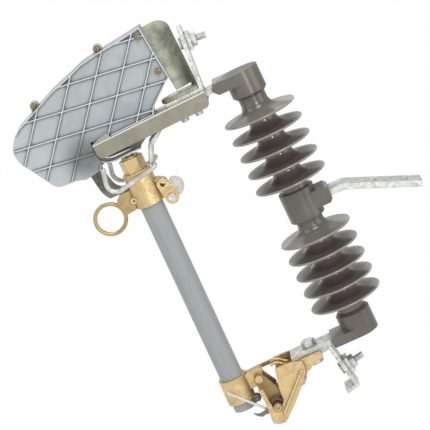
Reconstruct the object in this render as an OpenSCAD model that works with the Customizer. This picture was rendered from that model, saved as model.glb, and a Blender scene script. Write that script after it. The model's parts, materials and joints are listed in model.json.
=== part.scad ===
// Dropout fuse cutout with an arc chute, held by a bent bracket bar.
// Millimetres, +Z up. The origin lies on the top face of the bracket bar, midway
// between its two bolt holes, with +X along the bar and away from the insulator.
// Everything but the bar's free end is drawn upright about the insulator's axis
// (x = 0, z = 0 at the middle of the collar) and then leant over by leaned().

/* [Insulator] */
// Lean of the insulator from plumb, top away from the bracket, in degrees
lean = 23; // [15:1:30]
// Diameter of the rubber sheath between the sheds
sheath_d = 35; // [28:1:40]
// Diameter over the sheds
shed_d = 94; // [80:1:110]
// Sheds on each half of the insulator
shed_count = 5; // [4:1:7]
// Distance from one shed to the next
shed_pitch = 23; // [20:0.5:28]
// Distance from the middle of the collar to the root of the first shed
first_shed = 38; // [34:1:46]
// Thickness of a shed at its round rim
shed_rim_t = 3; // [2:0.5:4]
// Thickness of a shed at its root
shed_root_t = 6; // [4:0.5:8]
// Height of a shed's root above its rim
shed_droop = 4; // [1:0.5:7]
// Fillet between the sheath and the upper face of a shed
shed_fillet = 4; // [2:0.5:6]
// Bare sheath between the last shed and the end cap
end_gap = 21; // [16:1:30]

/* [Caps and collar] */
// Diameter of the end caps
cap_d = 45; // [40:1:50]
// Height of the end caps
cap_h = 34; // [28:1:40]
// Chamfer on a cap's inner rim
cap_chamfer = 3.5; // [1:0.5:5]
// Reach of the caps' arms from the insulator's axis
arm_reach = 39; // [34:1:46]
// Thickness of the upper cap's arm
top_arm_t = 15; // [13:1:18]
// Thickness of the lower cap's arm
low_arm_t = 12; // [11:1:16]
// Chamfer on the outer corner of the arms
arm_chamfer = 5; // [2:0.5:6]
// Diameter of the collar
collar_d = 46; // [42:1:52]
// Height of the collar
collar_h = 40; // [34:1:44]
// Reach of the collar's boss from the axis
boss_reach = 38; // [34:1:44]
// Height of the boss
boss_h = 22; // [18:1:26]
// Width of the boss
boss_w = 38; // [36:1:42]
// Chamfer on the end of the boss
boss_chamfer = 4; // [2:0.5:6]

/* [Bars] */
// Thickness of the bracket bar
bar_t = 8; // [6:0.5:10]
// Thickness of the top and bottom bars
flat_t = 6; // [5:0.5:8]
// Width of the bars
bar_w = 32; // [26:1:34]
// Depth of the pockets that hold the bars in the mouldings
bar_grip = 18; // [12:1:20]
// Distance from the insulator's axis to the bend of the bracket bar
bend_x = 57; // [52:1:70]
// Inner radius of the bends in the bars
bend_r = 10; // [6:1:14]
// Length of the bracket bar past its bend
bracket_l = 97; // [86:1:120]
// Distance between the two holes in the bracket bar
hole_pitch = 38; // [30:1:44]
// Diameter of the holes in the bracket bar
hole_d = 13; // [10:0.5:16]
// Distance from the outer hole to the end of the bar
hole_edge = 22; // [16:1:26]

/* [Hood] */
// Droop of the hood and all it carries, free end down, in degrees
droop = 1.3; // [0:0.1:2]
// Clear distance from the upper cap's arm to the hood
hood_gap = 10; // [6:1:14]
// Length of the hood
hood_l = 153; // [140:1:165]
// Width of the hood
hood_w = 44; // [40:1:48]
// Height of the hood's sides
hood_h = 20; // [18:1:24]
// Thickness of the hood's sheet
hood_t = 2; // [1.5:0.5:3]
// Corner radius at the open end of the hood's sides
hood_nose_r = 8; // [5:1:10]
// Length of the top bar inside the hood
top_bar_in = 60; // [55:1:70]
// Width of the contact leaf
leaf_w = 24; // [18:1:24]
// Thickness of the contact leaf
leaf_t = 2; // [1.5:0.5:3]

/* [Hooks] */
// Diameter of the hook rod
hook_d = 6; // [5:0.5:7]
// Distance between the two hooks, centre to centre
hook_spread = 54; // [52:1:60]

/* [Arc chute] */
// Reach of the chute from the hood's near end
chute_l = 245; // [238:1:255]
// Height of the chute above the hood
chute_h = 104.5; // [98:0.5:112]
// Width over the two plates of the chute
chute_w = 31; // [28:1:36]
// Wall of the chute
chute_wall = 3; // [2:0.5:4]
// Width of the closed rim of the chute
chute_rim = 4; // [3:0.5:6]
// Height of the ribs on the chute's faces
rib_h = 2.5; // [1:0.5:4]
// Width of the ribs
rib_w = 1.6; // [1.2:0.2:3]
// Distance from one rib to the next
rib_pitch = 30.4; // [24:0.2:40]
// Thickness of the sheet that carries the chute
sheet_t = 2.5; // [2:0.5:4]

/* [Terminals] */
// Thickness of the terminal straps
strap_t = 5; // [3:0.5:6]
// Height of the upper strap above the hood
strap_h = 83; // [78:1:90]
// Length of the lower strap below its bend
low_strap_l = 66; // [60:1:72]
// Lean of the lower strap, in degrees
low_strap_lean = 10.5; // [0:0.5:16]
// Diameter of the terminal studs
stud_d = 8; // [6:1:12]
// Length of a stud's free end past its nut
stud_free = 12.5; // [8:0.5:20]
// Size of the nuts and bolt heads across their flats
nut_af = 16; // [13:1:19]
// Thickness of the nuts and bolt heads
nut_t = 6.5; // [5:0.5:9]
// Side of the square clamp plates on the terminals
clamp_side = 22; // [20:1:28]
// Thickness of a clamp plate
clamp_t = 3; // [2:0.5:4]

/* [Hinge] */
// Distance from the insulator's axis to the trunnion pin
pin_x = 136; // [130:1:142]
// Drop from the lower end of the insulator to the trunnion pin
pin_drop = 39; // [36:1:42]
// Diameter of the trunnion pin
pin_d = 12; // [10:0.5:14]
// Clear width between the hinge's plates
hinge_gap = 44; // [42:1:50]
// Thickness of the hinge's plates
plate_t = 5; // [4:0.5:7]
// Running clearance of the trunnion pin in its seats, on the radius
pin_clear = 0.05; // [0.02:0.01:0.1]

/* [Fuse holder] */
// Distance from the trunnion pin to the fuse tube's axis
tube_off = 40; // [38:1:43]
// Lean of the fuse tube towards the insulator, in degrees
tube_lean = 1.1; // [0:0.1:2]
// Outer diameter of the fuse tube
tube_d = 30; // [26:1:32]
// Bore of the fuse tube
tube_bore = 19; // [12:1:22]
// Wall of the castings round the tube
sleeve_wall = 3.2; // [2.5:0.1:4]
// Length of the upper casting round the tube
head_l = 45; // [40:1:50]
// Length of the lower casting round the tube
foot_l = 33.5; // [30:0.5:38]
// Length of tube that stands out below the lower casting
tube_stub = 11.5; // [6:0.5:14]
// Diameter of the ferrule cap over its flats
cap_af = 27; // [24:1:30]
// Height of the ferrule cap
ferrule_h = 20; // [16:1:24]
// Diameter of the hole in the pull ring
eye_d = 33.5; // [28:0.5:36]
// Thickness of the pull ring
ring_t = 5.2; // [4.5:0.1:6.5]
// Thickness of the arcing blade
blade_t = 4; // [3:0.5:5]
// Width of the arcing blade
blade_w = 17; // [12:1:20]

/* [Hidden] */

$fn = 48;
seat = 0.3;        // gap between a piece and the seat that it only rests on
over = 1;          // how far a cutting tool reaches past a face
far = 400;         // longer than any piece

half_l = first_shed + (shed_count - 1) * shed_pitch + end_gap + cap_h;
bar_z = half_l - top_arm_t / 2;            // middle of the top bar
low_bar_z = low_arm_t / 2 + 1.5 - half_l;  // middle of the bottom bar
origin_s = bracket_l - hole_edge - hole_pitch / 2;
origin_x = bend_x + bar_t / 2 * sin(lean) + origin_s * cos(lean);
origin_z = bar_t / 2 * cos(lean) - origin_s * sin(lean);
pin_z = -half_l - pin_drop;

stud_shank_d = stud_d + 1;
bolt_d = 10;
bolt_fit = 0.3;            // clearance round a bolt's shank, on the radius
stack_t = strap_t + 2 * clamp_t;

// At the hood: x = 0 at its near end and z = 0 on its top, see at_hood()
hood_under = -hood_t;              // underside of the hood's top, where the bar lies
bar_under = hood_under - flat_t;
hood_bolt_x = [-19, -38];
foot_t = 4.5;                      // thickness of the foot of the chute's sheet
stack_top = strap_t + foot_t;
strap_x = -5;                      // inner face of the upper strap's upright
chute_base = seat;
chute_screw_at = [shape([-43.2, 96.6]), shape([-39.1, 48.3])];
ear_at = [shape([-94.9, 104]), shape([-196.4, 75.3])];
ear_r = 5.5;
hook_y = hook_spread / 2;

low_bar_end = -95;                 // free end of the bottom bar
hinge_bolt_x = -68;                // bolt through the bottom bar, strap and hinge
low_strap_top = low_bar_z - flat_t / 2;
low_bend_x = -42.7;
hinge_seat = low_strap_top - strap_t;      // top of the web, under the lower strap
web_t = 7;

tube_low = 8.5;
foot_low = tube_low + tube_stub;
foot_top_z = foot_low + foot_l;
head_top_z = 2 * half_l - 22;      // top of the upper casting
head_low = head_top_z - head_l;
sleeve_r = tube_d / 2 + seat + sleeve_wall;
fit_r = tube_d / 2 + 0.02;
ring_x = -54.8;
ring_z = head_low + 1.1;
ring_r = eye_d / 2 + ring_t / 2;
toggle_at = [31.8, foot_top_z - 13];

// Contact point on the ferrule cap, and the leaf's underside at the hood over it
cap_top_x = tube_off * cos(tube_lean) - (head_top_z + ferrule_h + 3) * sin(tube_lean) + pin_x;
cap_top_z = pin_z + tube_off * sin(tube_lean) + (head_top_z + ferrule_h + 3) * cos(tube_lean);
leaf_low = (cap_top_x - arm_reach) * sin(droop) + (cap_top_z - bar_z) * cos(droop)
    - flat_t / 2 - hood_t + seat + 0.2;
leaf_end = -102;
leaf_run = 35;
leaf_curl = 23;
support_l = 12;

galvanised = [0.78, 0.79, 0.78];
silicone = [0.45, 0.42, 0.40];
brass = [0.83, 0.70, 0.48];
sheet_steel = [0.62, 0.60, 0.54];
chute_grey = [0.74, 0.78, 0.80];
tube_grey = [0.65, 0.69, 0.69];
dark_steel = [0.42, 0.44, 0.42];

// Frames -------------------------------------------------------------------

module leaned() {
    rotate([0, -lean, 0]) translate([-origin_x, 0, -origin_z]) children();
}

// At the hood's near end, on its top: everything that the top bar carries
module at_hood() {
    leaned() translate([-arm_reach, 0, bar_z]) rotate([0, -droop, 0])
        translate([-hood_gap, 0, flat_t / 2 + hood_t]) children();
}

// The trunnion pin's frame: +Z runs up the fuse tube
module at_pin() {
    leaned() translate([-pin_x, 0, pin_z]) rotate([0, tube_lean, 0]) children();
}

// Extrudes a profile drawn in X and Z, centred on y, to a width
module across(width, y = 0) {
    translate([0, y + width / 2, 0]) rotate([90, 0, 0]) linear_extrude(width) children();
}

// A cylinder across the machine, centred on y
module pin_across(r, width, y = 0) {
    translate([0, y + width / 2, 0]) rotate([90, 0, 0]) cylinder(r = r, h = width);
}

// A hexagonal nut or head standing on z = 0
module hex(af, h) {
    cylinder(d = af / cos(30), h = h, $fn = 6);
}

// Side view of a flat bar that runs along +X, with its top face on y = 0, then bends
// down by an angle about an inner radius and runs on
function bent_bar(before, angle, r, after, t) =
    let (c = [before, -r - t], along = [cos(angle), -sin(angle)])
    concat([[0, 0]], arc(c, r + t, 90, 90 - angle, 14),
           [c + (r + t) * [sin(angle), cos(angle)] + after * along,
            c + r * [sin(angle), cos(angle)] + after * along],
           arc(c, r, 90 - angle, 90, 14), [[0, -t]]);

// Places its children at a point, with their +Z along z and their +X along x
module along(at, z, x) {
    y = cross(z, x);
    multmatrix([[x[0], y[0], z[0], at[0]], [x[1], y[1], z[1], at[1]], [x[2], y[2], z[2], at[2]]])
        children();
}

function unit(v) = v / norm(v);

// A round rod from point to point, bent about a radius at each inner point. Straights
// and bends run into each other by a lap, and the bends are a hair thicker
lap = 0.5;
module rod(points, radii, d) {
    last = len(points) - 1;
    dirs = [for (i = [0 : last - 1]) unit(points[i + 1] - points[i])];
    turns = [for (i = [0 : last]) i == 0 || i == last ? 0 : acos(dirs[i - 1] * dirs[i])];
    cuts = [for (i = [0 : last]) radii[i] * tan(turns[i] / 2)];
    for (i = [0 : last - 1]) {
        z = dirs[i];
        along(points[i] + (cuts[i] - lap) * z, z, unit(cross(z, [0.3, 1, 0.2])))
            cylinder(d = d, h = norm(points[i + 1] - points[i]) - cuts[i] - cuts[i + 1] + 2 * lap);
        if (i < last - 1) {
            r = radii[i + 1];
            next = dirs[i + 1];
            along(points[i + 1] - cuts[i + 1] * z, z, unit(next - (next * z) * z))
                translate([r, 0, 0]) mirror([1, 0, 0]) rotate([90, 0, 0])
                rotate_extrude(angle = turns[i + 1]) translate([r, 0]) circle(d = d + 0.1);
        }
    }
}

// Points on an arc about a centre, in a plane
function arc(c, r, from, to, n = 8) =
    [for (i = [0 : n]) c + r * [cos(from + (to - from) * i / n), sin(from + (to - from) * i / n)]];

// A point on the chute, kept in proportion to its reach and height
function shape(p) = [p[0] * chute_l / 245, (p[1] - 1.5) * chute_h / 104.5];

// A run of points moved sideways by a distance, to its right
function beside(p, r) =
    let (last = len(p) - 1,
         side = [for (i = [0 : last - 1]) let (d = unit(p[i + 1] - p[i])) [d[1], -d[0]]])
    [for (i = [0 : last])
        let (a = side[max(i - 1, 0)], b = side[min(i, last - 1)]) p[i] + r * (a + b) / (1 + a * b)];

// Insulator -----------------------------------------------------------------

// Half profile of one shed, with its root at y = 0
module shed_profile() {
    root = sheath_d / 2;
    rim = shed_d / 2 - shed_rim_t / 2;
    difference() {
        union() {
            polygon([[0, -shed_root_t / 2 - shed_droop / 2],
                     [root, -shed_root_t / 2 - shed_droop / 2],
                     [rim, -shed_droop - shed_rim_t / 2],
                     [rim, -shed_droop + shed_rim_t / 2],
                     [root + shed_fillet, shed_root_t / 2],
                     [root, shed_root_t / 2 + shed_fillet],
                     [0, shed_root_t / 2 + shed_fillet]]);
            translate([rim, -shed_droop]) circle(d = shed_rim_t);
        }
        translate([root + shed_fillet, shed_root_t / 2 + shed_fillet]) circle(shed_fillet);
    }
}

// One run of sheath with its sheds, from z = low to z = high
module shed_housing(low, high, roots) {
    color(silicone) rotate_extrude($fn = 96) {
        translate([0, low]) square([sheath_d / 2, high - low]);
        for (z = roots) translate([0, z]) shed_profile();
    }
}

module upper_shed_housing() leaned() {
    shed_housing(collar_h / 2, half_l - cap_h,
                 [for (i = [0 : shed_count - 1]) first_shed + i * shed_pitch]);
}

module lower_shed_housing() leaned() {
    shed_housing(cap_h - half_l, -collar_h / 2,
                 [for (i = [0 : shed_count - 1]) -first_shed - i * shed_pitch]);
}

module cap_body(h) {
    rotate_extrude($fn = 96) polygon([[0, 0], [cap_d / 2 - cap_chamfer, 0],
        [cap_d / 2, cap_chamfer], [cap_d / 2, h], [0, h]]);
}

module top_end_cap() color(silicone) leaned() difference() {
    union() {
        translate([0, 0, half_l - cap_h]) cap_body(cap_h);
        across(cap_d) polygon([[0, half_l], [-arm_reach + arm_chamfer / 3, half_l],
            [-arm_reach, half_l - arm_chamfer], [-arm_reach, half_l - top_arm_t + arm_chamfer],
            [-arm_reach + arm_chamfer, half_l - top_arm_t], [0, half_l - top_arm_t]]);
    }
    translate([-arm_reach, 0, bar_z]) rotate([0, -droop, 0]) bar_pocket(0, 0, flat_t, -1);
}

module bottom_end_cap() color(silicone) leaned() difference() {
    union() {
        translate([0, 0, cap_h - half_l]) mirror([0, 0, 1]) cap_body(cap_h);
        across(cap_d) polygon([[0, -half_l], [-arm_reach + arm_chamfer / 2, -half_l],
            [-arm_reach, -half_l + arm_chamfer / 2], [-arm_reach, -half_l + low_arm_t],
            [0, -half_l + low_arm_t]]);
    }
    bar_pocket(-arm_reach, low_bar_z, flat_t, -1);
}

// The pocket for a bar that enters a face at x, from the side that dir points to
module bar_pocket(x, z, t, dir) {
    translate([x + dir * over - (dir > 0 ? bar_grip + over : 0), -bar_w / 2, z - t / 2])
        cube([bar_grip + over, bar_w, t]);
}

module centre_collar() color(silicone) leaned() difference() {
    union() {
        translate([0, 0, -collar_h / 2]) rotate_extrude($fn = 96)
            polygon([[0, 0], [collar_d / 2 - over, 0], [collar_d / 2, over],
                     [collar_d / 2, collar_h - over], [collar_d / 2 - over, collar_h], [0, collar_h]]);
        across(boss_w) polygon([[0, -boss_h / 2], [boss_reach - boss_chamfer, -boss_h / 2],
            [boss_reach, boss_chamfer - boss_h / 2], [boss_reach, boss_h / 2 - boss_chamfer],
            [boss_reach - boss_chamfer, boss_h / 2], [0, boss_h / 2]]);
    }
    bar_pocket(boss_reach, 0, bar_t, 1);
}

// Bars ------------------------------------------------------------------------

module bracket_bar() color(galvanised) {
    start = boss_reach - bar_grip;
    tangent = (bend_r + bar_t / 2) * tan(lean / 2);
    difference() {
        leaned() translate([start, 0, bar_t / 2]) across(bar_w)
            polygon(bent_bar(bend_x - tangent - start, lean, bend_r, bracket_l - tangent, bar_t));
        for (x = [-hole_pitch / 2, hole_pitch / 2])
            translate([x, 0, -bar_t - over]) cylinder(d = hole_d, h = bar_t + 2 * over);
    }
}

module top_bar() color(galvanised) at_hood() difference() {
    translate([-top_bar_in, -bar_w / 2, bar_under])
        cube([top_bar_in + hood_gap + bar_grip, bar_w, flat_t]);
    hood_bolt_holes();
}

module bottom_bar() color(galvanised) leaned() difference() {
    translate([low_bar_end, -bar_w / 2, low_bar_z - flat_t / 2])
        cube([-arm_reach + bar_grip - low_bar_end, bar_w, flat_t]);
    hinge_bolt_hole();
}

module hinge_bolt_hole() {
    translate([hinge_bolt_x, 0, low_bar_z - far / 2]) cylinder(r = bolt_d / 2 + bolt_fit, h = far);
}

module hinge_bolt() color(galvanised) leaned() translate([hinge_bolt_x, 0, 0]) {
    top = low_bar_z + flat_t / 2;
    nut_z = hinge_seat - web_t - nut_t;
    washer_t = 1.5;
    translate([0, 0, top]) cylinder(r = 9.4, h = washer_t);
    translate([0, 0, top + washer_t]) hex(nut_af, nut_t);
    translate([0, 0, nut_z]) cylinder(d = bolt_d, h = top - nut_z + over);
    translate([0, 0, nut_z]) hex(nut_af, nut_t);
}

// Hood and upper contact --------------------------------------------------------

bolt_reach = 7;          // how far the hood's bolts stand out below it
sunk_h = 4;              // height of their sunk heads
sunk_r = 9;

module hood_bolt_holes() {
    for (x = hood_bolt_x) translate([x, 0, 0]) {
        translate([0, 0, -hood_h - over]) cylinder(r = bolt_d / 2 + bolt_fit, h = hood_h + stack_top + over);
        translate([0, 0, stack_top - sunk_h])
            cylinder(r1 = bolt_d / 2 + bolt_fit, r2 = sunk_r + bolt_fit, h = sunk_h + 0.01);
    }
}

// Bolts with sunk heads through the stack on the hood, nuts below the bar
module hood_bolts() color(galvanised) at_hood() for (x = hood_bolt_x) translate([x, 0, 0]) {
    translate([0, 0, stack_top - sunk_h]) cylinder(r1 = bolt_d / 2, r2 = sunk_r, h = sunk_h);
    translate([0, 0, bar_under - nut_t]) hex(nut_af, nut_t);
    translate([0, 0, -hood_h - bolt_reach]) cylinder(d = bolt_d, h = hood_h + bolt_reach + stack_top - 1);
}

// Side view of the hood, rounded at its lower corners
module hood_side() {
    r = hood_nose_r;
    polygon(concat([[-hood_l, 0], [0, 0]], arc([-r, r - hood_h], r, 0, -90, 6),
        arc([r - hood_l, r - hood_h], r, -90, -180, 8)));
}

module contact_hood() color(sheet_steel) at_hood() difference() {
    across(hood_w) hood_side();
    translate([-hood_l - over, -hood_w / 2 + hood_t, -hood_h - over])
        cube([hood_l + 2 * over, hood_w - 2 * hood_t, hood_h + over - hood_t]);
    hood_bolt_holes();
}

module contact_leaf() color(galvanised) at_hood() across(leaf_w) {
    c = [leaf_end - leaf_run, leaf_low + leaf_t + leaf_curl];
    translate([leaf_end - leaf_run, leaf_low]) square([leaf_run, leaf_t]);
    polygon(concat(arc(c, leaf_curl, -90, -148, 12), arc(c, leaf_curl + leaf_t, -148, -90, 12)));
}

module contact_support() color(dark_steel) at_hood() across(leaf_w - 6) polygon([
    [leaf_end - support_l, leaf_low + leaf_t], [leaf_end - 1, leaf_low + leaf_t],
    [leaf_end + 15, hood_under - 18], [leaf_end + 15, hood_under], [leaf_end - support_l, hood_under]]);

module contact_spring() color(dark_steel) at_hood() across(leaf_w - 10) {
    x = leaf_end - support_l - seat;
    t = 1.6;
    polygon([[x, leaf_low + 5.4], [x, leaf_low + 5.4 + t], [x - 24, leaf_low + 6.4 + t],
        [x - 30, leaf_low + 7.8 + t], [x - 30, leaf_low + 7.8], [x - 24, leaf_low + 6.4]]);
}

hook_nose_r = 12.3;     // bend radius of the hook's nose
// The hook on the -Y side: from its tip round the nose, along under the hood, inwards,
// and up inside the hood, against its side. Its nose can be drawn shorter
module hook(shorter = 0) {
    in_y = hood_w / 2 - hood_t - hook_d / 2 - seat;
    color(galvanised) rod([[shorter - 154, -hook_y, -31], [shorter - 163, -hook_y, -67.3],
        [-91.7, -hook_y, -55.6], [-98.1, -in_y, -51.6], [-89.3, -in_y, -32], [-63, -in_y, -14.5]],
        [0, hook_nose_r, 4.5, 4.5, 9, 0], hook_d);
}

module near_hook() at_hood() hook();
module far_hook() at_hood() mirror([0, 1, 0]) hook(5);

// Arc chute ----------------------------------------------------------------------

// The chute's closed edge in X and Z at the hood, from the tip of its mouth over the
// top and down to the hood
closed_edge = [for (p = [[-231, 55.2], [-226.3, 59], [-221, 61.3], [-186.1, 75.1], [-168.6, 82.3],
    [-136.4, 91.6], [-119.9, 97.1], [-98, 99.9], [-65.2, 102.7], [-36.4, 106], [-34.1, 73],
    [-30.8, 35.1], [-37.7, 30.9], [-64.6, 9.9]]) shape(p)];
// Its open edge, from the hood's end round the lower lobe and the mouth. The lobe keeps
// clear of the ferrule cap as that swings past
lobe = [[-154.5, -31.8], [-171.7, -34.7], [-180, -35.4]];
mouth = [for (p = [[-186.3, -31.5], [-193.5, -29.4], [-205.8, -28.9], [-212.2, -27.8],
    [-216.6, -25.6], [-220.1, -21.8], [-222.8, -16.2], [-231.4, -0.7], [-235.6, 7.1],
    [-240.2, 14.2], [-242.8, 19.8], [-244.4, 24.7], [-245.3, 30.8], [-244.3, 36.6], [-242, 42.4],
    [-236.8, 49.6]]) shape(p)];

module chute_outline() {
    step_x = -127;       // the chute stands higher over the hood's free end
    step_z = 3.5;
    polygon(concat(closed_edge, [[-68, chute_base], [step_x, chute_base],
        [step_x, chute_base + step_z], [-hood_l - 1.5, chute_base + step_z]], lobe, mouth));
}

// The room inside: the outline shrunk by the rim along its closed edge
module chute_inside(r) {
    inner = beside(closed_edge, r);
    polygon(concat(inner, [[-68 - r, chute_base + r], [-127 - r, chute_base + r],
        [-hood_l + 10, chute_base + 2 * r], [-hood_l + 10, -60], [-chute_l - 20, -60],
        [-chute_l - 20, inner[0][1] - 5]]));
}

module ribs_2d() {
    for (family = [[50.3, -128, 54.3], [-9.5, -140.7, 19.8]])
        translate(shape([family[1], family[2]])) rotate(family[0])
            for (i = [-4 : 4]) translate([-far / 2, i * rib_pitch - rib_w / 2])
                square([far, rib_w]);
}

ear_t = 5;
// The half that faces -Y
module chute_half() {
    y = chute_w / 2;
    difference() {
        union() {
            across(y, -y / 2) chute_outline();
            across(rib_h, -y - rib_h / 2) intersection() {
                chute_outline();
                ribs_2d();
            }
            across(rib_h, -y - rib_h / 2) difference() {
                chute_outline();
                chute_inside(rib_w);
            }
            for (p = ear_at) translate([p[0], 0, p[1]]) {
                pin_across(ear_r, ear_t, -ear_t / 2);
                translate([-ear_r, -ear_t, -ear_r - 1]) cube([2 * ear_r, ear_t, ear_r + 1]);
            }
        }
        across(y - chute_wall, -(y - chute_wall) / 2) chute_inside(chute_rim);
        for (p = concat(chute_screw_at, ear_at)) translate([p[0], 0, p[1]]) pin_across(2.2, chute_w * 2);
    }
}

module chute_front_half() color(chute_grey) at_hood() difference() {
    chute_half();
    chute_sheet_blank(sheet_t);
}

module chute_back_half() color(chute_grey) at_hood() difference() {
    mirror([0, 1, 0]) chute_half();
    chute_sheet_blank(sheet_t);
}

module chute_screws() color(brass) at_hood() {
    head = 3;
    for (p = chute_screw_at) translate([p[0], 0, p[1]]) {
        pin_across(2, chute_w + 2 * rib_h);
        for (s = [-1, 1]) pin_across(4, head, s * (chute_w / 2 + rib_h + head / 2));
    }
    for (p = ear_at) translate([p[0], 0, p[1]]) {
        pin_across(2, 2 * ear_t);
        for (s = [-1, 1]) pin_across(3.6, head, s * (ear_t + head / 2));
    }
}

// The sheet that stands on the hood between the two halves and holds them: flat in
// the chute, then curved away from -Y
sheet_turn = -33;      // where the sheet starts to curve
sheet_r = 28;          // radius of that curve
sheet_flat = 48;       // flat run in the chute
module chute_sheet_blank(t) {
    side = strap_x - seat - 0.3;
    top = shape([0, 86])[1];
    intersection() {
        across(hood_w) polygon(concat([[-49, 40], [sheet_turn, 35.5], [-31.2, 13], [-12, 13],
            [-12, stack_top - 1], [side, stack_top - 1]], arc([side - 17, top], 17, 0, 90, 6),
            [[-49, top + 16]]));
        linear_extrude(far) translate([sheet_turn - sheet_flat, t / 2])
            polygon([for (p = bent_bar(sheet_flat, 75, sheet_r - t / 2, 9, t)) [p[0], -p[1] - t]]);
    }
}

module chute_sheet() color(sheet_steel) at_hood() {
    foot_r = bar_w / 2 - 2;
    foot_x = foot_r - 54;          // centre of the foot's round end
    difference() {
        union() {
            chute_sheet_blank(sheet_t);
            translate([foot_x, 0, strap_t]) cylinder(r = foot_r, h = foot_t);
            translate([foot_x, -foot_r, strap_t]) cube([strap_x - seat - foot_x, 2 * foot_r, foot_t]);
        }
        hood_bolt_holes();
        for (p = chute_screw_at) translate([p[0], 0, p[1]]) pin_across(2.2, chute_w * 2);
    }
}

// Terminals -----------------------------------------------------------------------

// A stud with its round head, standing on z = 0 through the strap and clamp plates
module stud() {
    translate([0, 0, -4]) cylinder(d = nut_af, h = 4);
    cylinder(d = stud_shank_d, h = stack_t + nut_t);
    cylinder(d = stud_d, h = stack_t + nut_t + stud_free);
}

module clamp_plates() difference() {
    for (i = [0, 1])
        translate([-clamp_side / 2, -clamp_side / 2, strap_t + i * clamp_t]) cube([clamp_side, clamp_side, clamp_t]);
    cylinder(r = stud_shank_d / 2 + bolt_fit, h = far);
}

module stud_nut() translate([0, 0, stack_t]) difference() {
    hex(nut_af, nut_t);
    translate([0, 0, -over]) cylinder(d = stud_shank_d + 0.1, h = nut_t + 2 * over);
}

strap_lean = 6;          // lean of the upper strap, top away from the chute
upper_stud_at = 62.5;    // distance of the upper stud along its strap
module at_strap() at_hood() translate([strap_x, 0, 0]) rotate([0, strap_lean, 0]) children();
module at_upper_stud() at_strap() translate([0, 0, upper_stud_at]) rotate([0, 90, 0]) children();

module upper_strap() color(galvanised) difference() {
    foot = 45;
    up = [sin(strap_lean), cos(strap_lean)];
    out = [cos(strap_lean), -sin(strap_lean)];
    at_hood() across(bar_w - 2) translate([strap_x, 0]) polygon([[-foot, 0], [strap_t / up[1], 0],
        strap_h * up + strap_t * out, strap_h * up, [strap_t * up[0] / up[1], strap_t], [-foot, strap_t]]);
    at_hood() for (x = hood_bolt_x) translate([x, 0, -over])
        cylinder(r = bolt_d / 2 + bolt_fit, h = strap_t + 2 * over);
    at_upper_stud() translate([0, 0, -over]) cylinder(r = stud_shank_d / 2 + bolt_fit, h = strap_t + 2 * over);
}

module upper_stud() color(galvanised) at_upper_stud() stud();
module upper_clamp_plates() color(galvanised) at_upper_stud() clamp_plates();
module upper_nut() color(galvanised) at_upper_stud() stud_nut();

low_stud_at = 38;        // distance of the lower stud along its strap
low_tab = 18;            // reach of the lower strap's turned end
module at_lower_stud() leaned() translate([low_bend_x, 0, low_strap_top]) rotate([0, 90 - low_strap_lean, 0])
    translate([low_stud_at, 0, 0]) children();

// Side view of the lower strap: flat under the bar, down, and a short end tab
module low_strap_profile() {
    translate([low_bar_end + 4, low_strap_top - strap_t]) square([low_bend_x - low_bar_end - 4, strap_t]);
    translate([low_bend_x, low_strap_top]) rotate(low_strap_lean - 90) {
        translate([0, -strap_t]) square([low_strap_l, strap_t]);
        translate([low_strap_l - strap_t, -low_tab]) square([strap_t, low_tab]);
    }
}

module lower_strap() color(galvanised) difference() {
    leaned() across(bar_w) low_strap_profile();
    leaned() hinge_bolt_hole();
    at_lower_stud() translate([0, 0, -strap_t - over]) cylinder(r = stud_shank_d / 2 + bolt_fit, h = strap_t + 2 * over);
}

module lower_stud() color(galvanised) at_lower_stud() translate([0, 0, -strap_t]) stud();
module lower_clamp_plates() color(galvanised) at_lower_stud() translate([0, 0, -strap_t]) clamp_plates();
module lower_nut() color(galvanised) at_lower_stud() translate([0, 0, -strap_t]) stud_nut();

// Hinge ------------------------------------------------------------------------------

// Side plate about the trunnion pin, with its open slot
module plate_profile() {
    r = pin_d / 2 + pin_clear;
    difference() {
        union() {
            polygon([[17.5, 47.5], [38, 46.5], [52.8, 42.8], [52.6, 34.5], [50.5, 27.5], [41.6, 15],
                [34, 8], [23.7, -2.9], [5, -19.5], [1, -22], [-6, -21.5], [-13.7, -17.5],
                [-13.9, -13], [-12.5, 2], [-12, 17], [-13.7, 31], [-7, 29], [-7, 0], [7, 0]]);
            circle(r = r + 5);
        }
        circle(r = r);
        polygon([[-r, 0], [r, 0], [11, 6], [11.5, 13.1], [11.9, 23.2], [13.5, 32.7], [15.1, 39.3],
            [17.6, 47.7], [18, 60], [-7.5, 60], [-7.5, 32], [-7.4, 20.5], [-r, 12.3]]);
    }
}

module hinge_casting() color(brass) difference() {
    leaned() translate([-pin_x, 0, pin_z]) {
        for (s = [-1, 1]) {
            across(plate_t, s * (hinge_gap + plate_t) / 2) plate_profile();
            across(2, s * (hinge_gap / 2 + plate_t + 1))
                polygon([[46.5, 33.7], [2.5, -9.6], [4.6, -11.8], [49.4, 32.4]]);
            across(neck_wall, s * (bar_w + neck_wall + 2 * seat) / 2) neck_wall_profile();
        }
        across(hinge_gap + over) back_wall_profile();
        across(bar_w + neck_wall) neck_profile();
    }
    leaned() hinge_bolt_hole();
}

neck_top = hinge_seat - pin_z;     // the seat's height over the trunnion pin
neck_wall = 4;
// Back wall between the plates, down from the seat and along their sloping edge
module back_wall_profile() {
    polygon([[22, neck_top], [52, neck_top], [51, 27.5], [32, 5], [28, 9], [45.5, 27],
        [45.5, neck_top - web_t], [22, neck_top - web_t]]);
}

// Flat neck under the strap, and the walls beside it that reach up to the bar
module neck_profile() {
    polygon([[48, neck_top], [78.4, neck_top], [78.9, neck_top - 4], [71.5, neck_top - 5], [48, neck_top - web_t]]);
}

module neck_wall_profile() {
    polygon([[48, neck_top + strap_t], [78, neck_top + strap_t], [78.9, neck_top - 4],
        [71.5, neck_top - 5], [63, neck_top - 8.2], [58.9, neck_top - 11.3], [53.8, neck_top - 13.4],
        [46.8, neck_top - 19.6]]);
}

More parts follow.
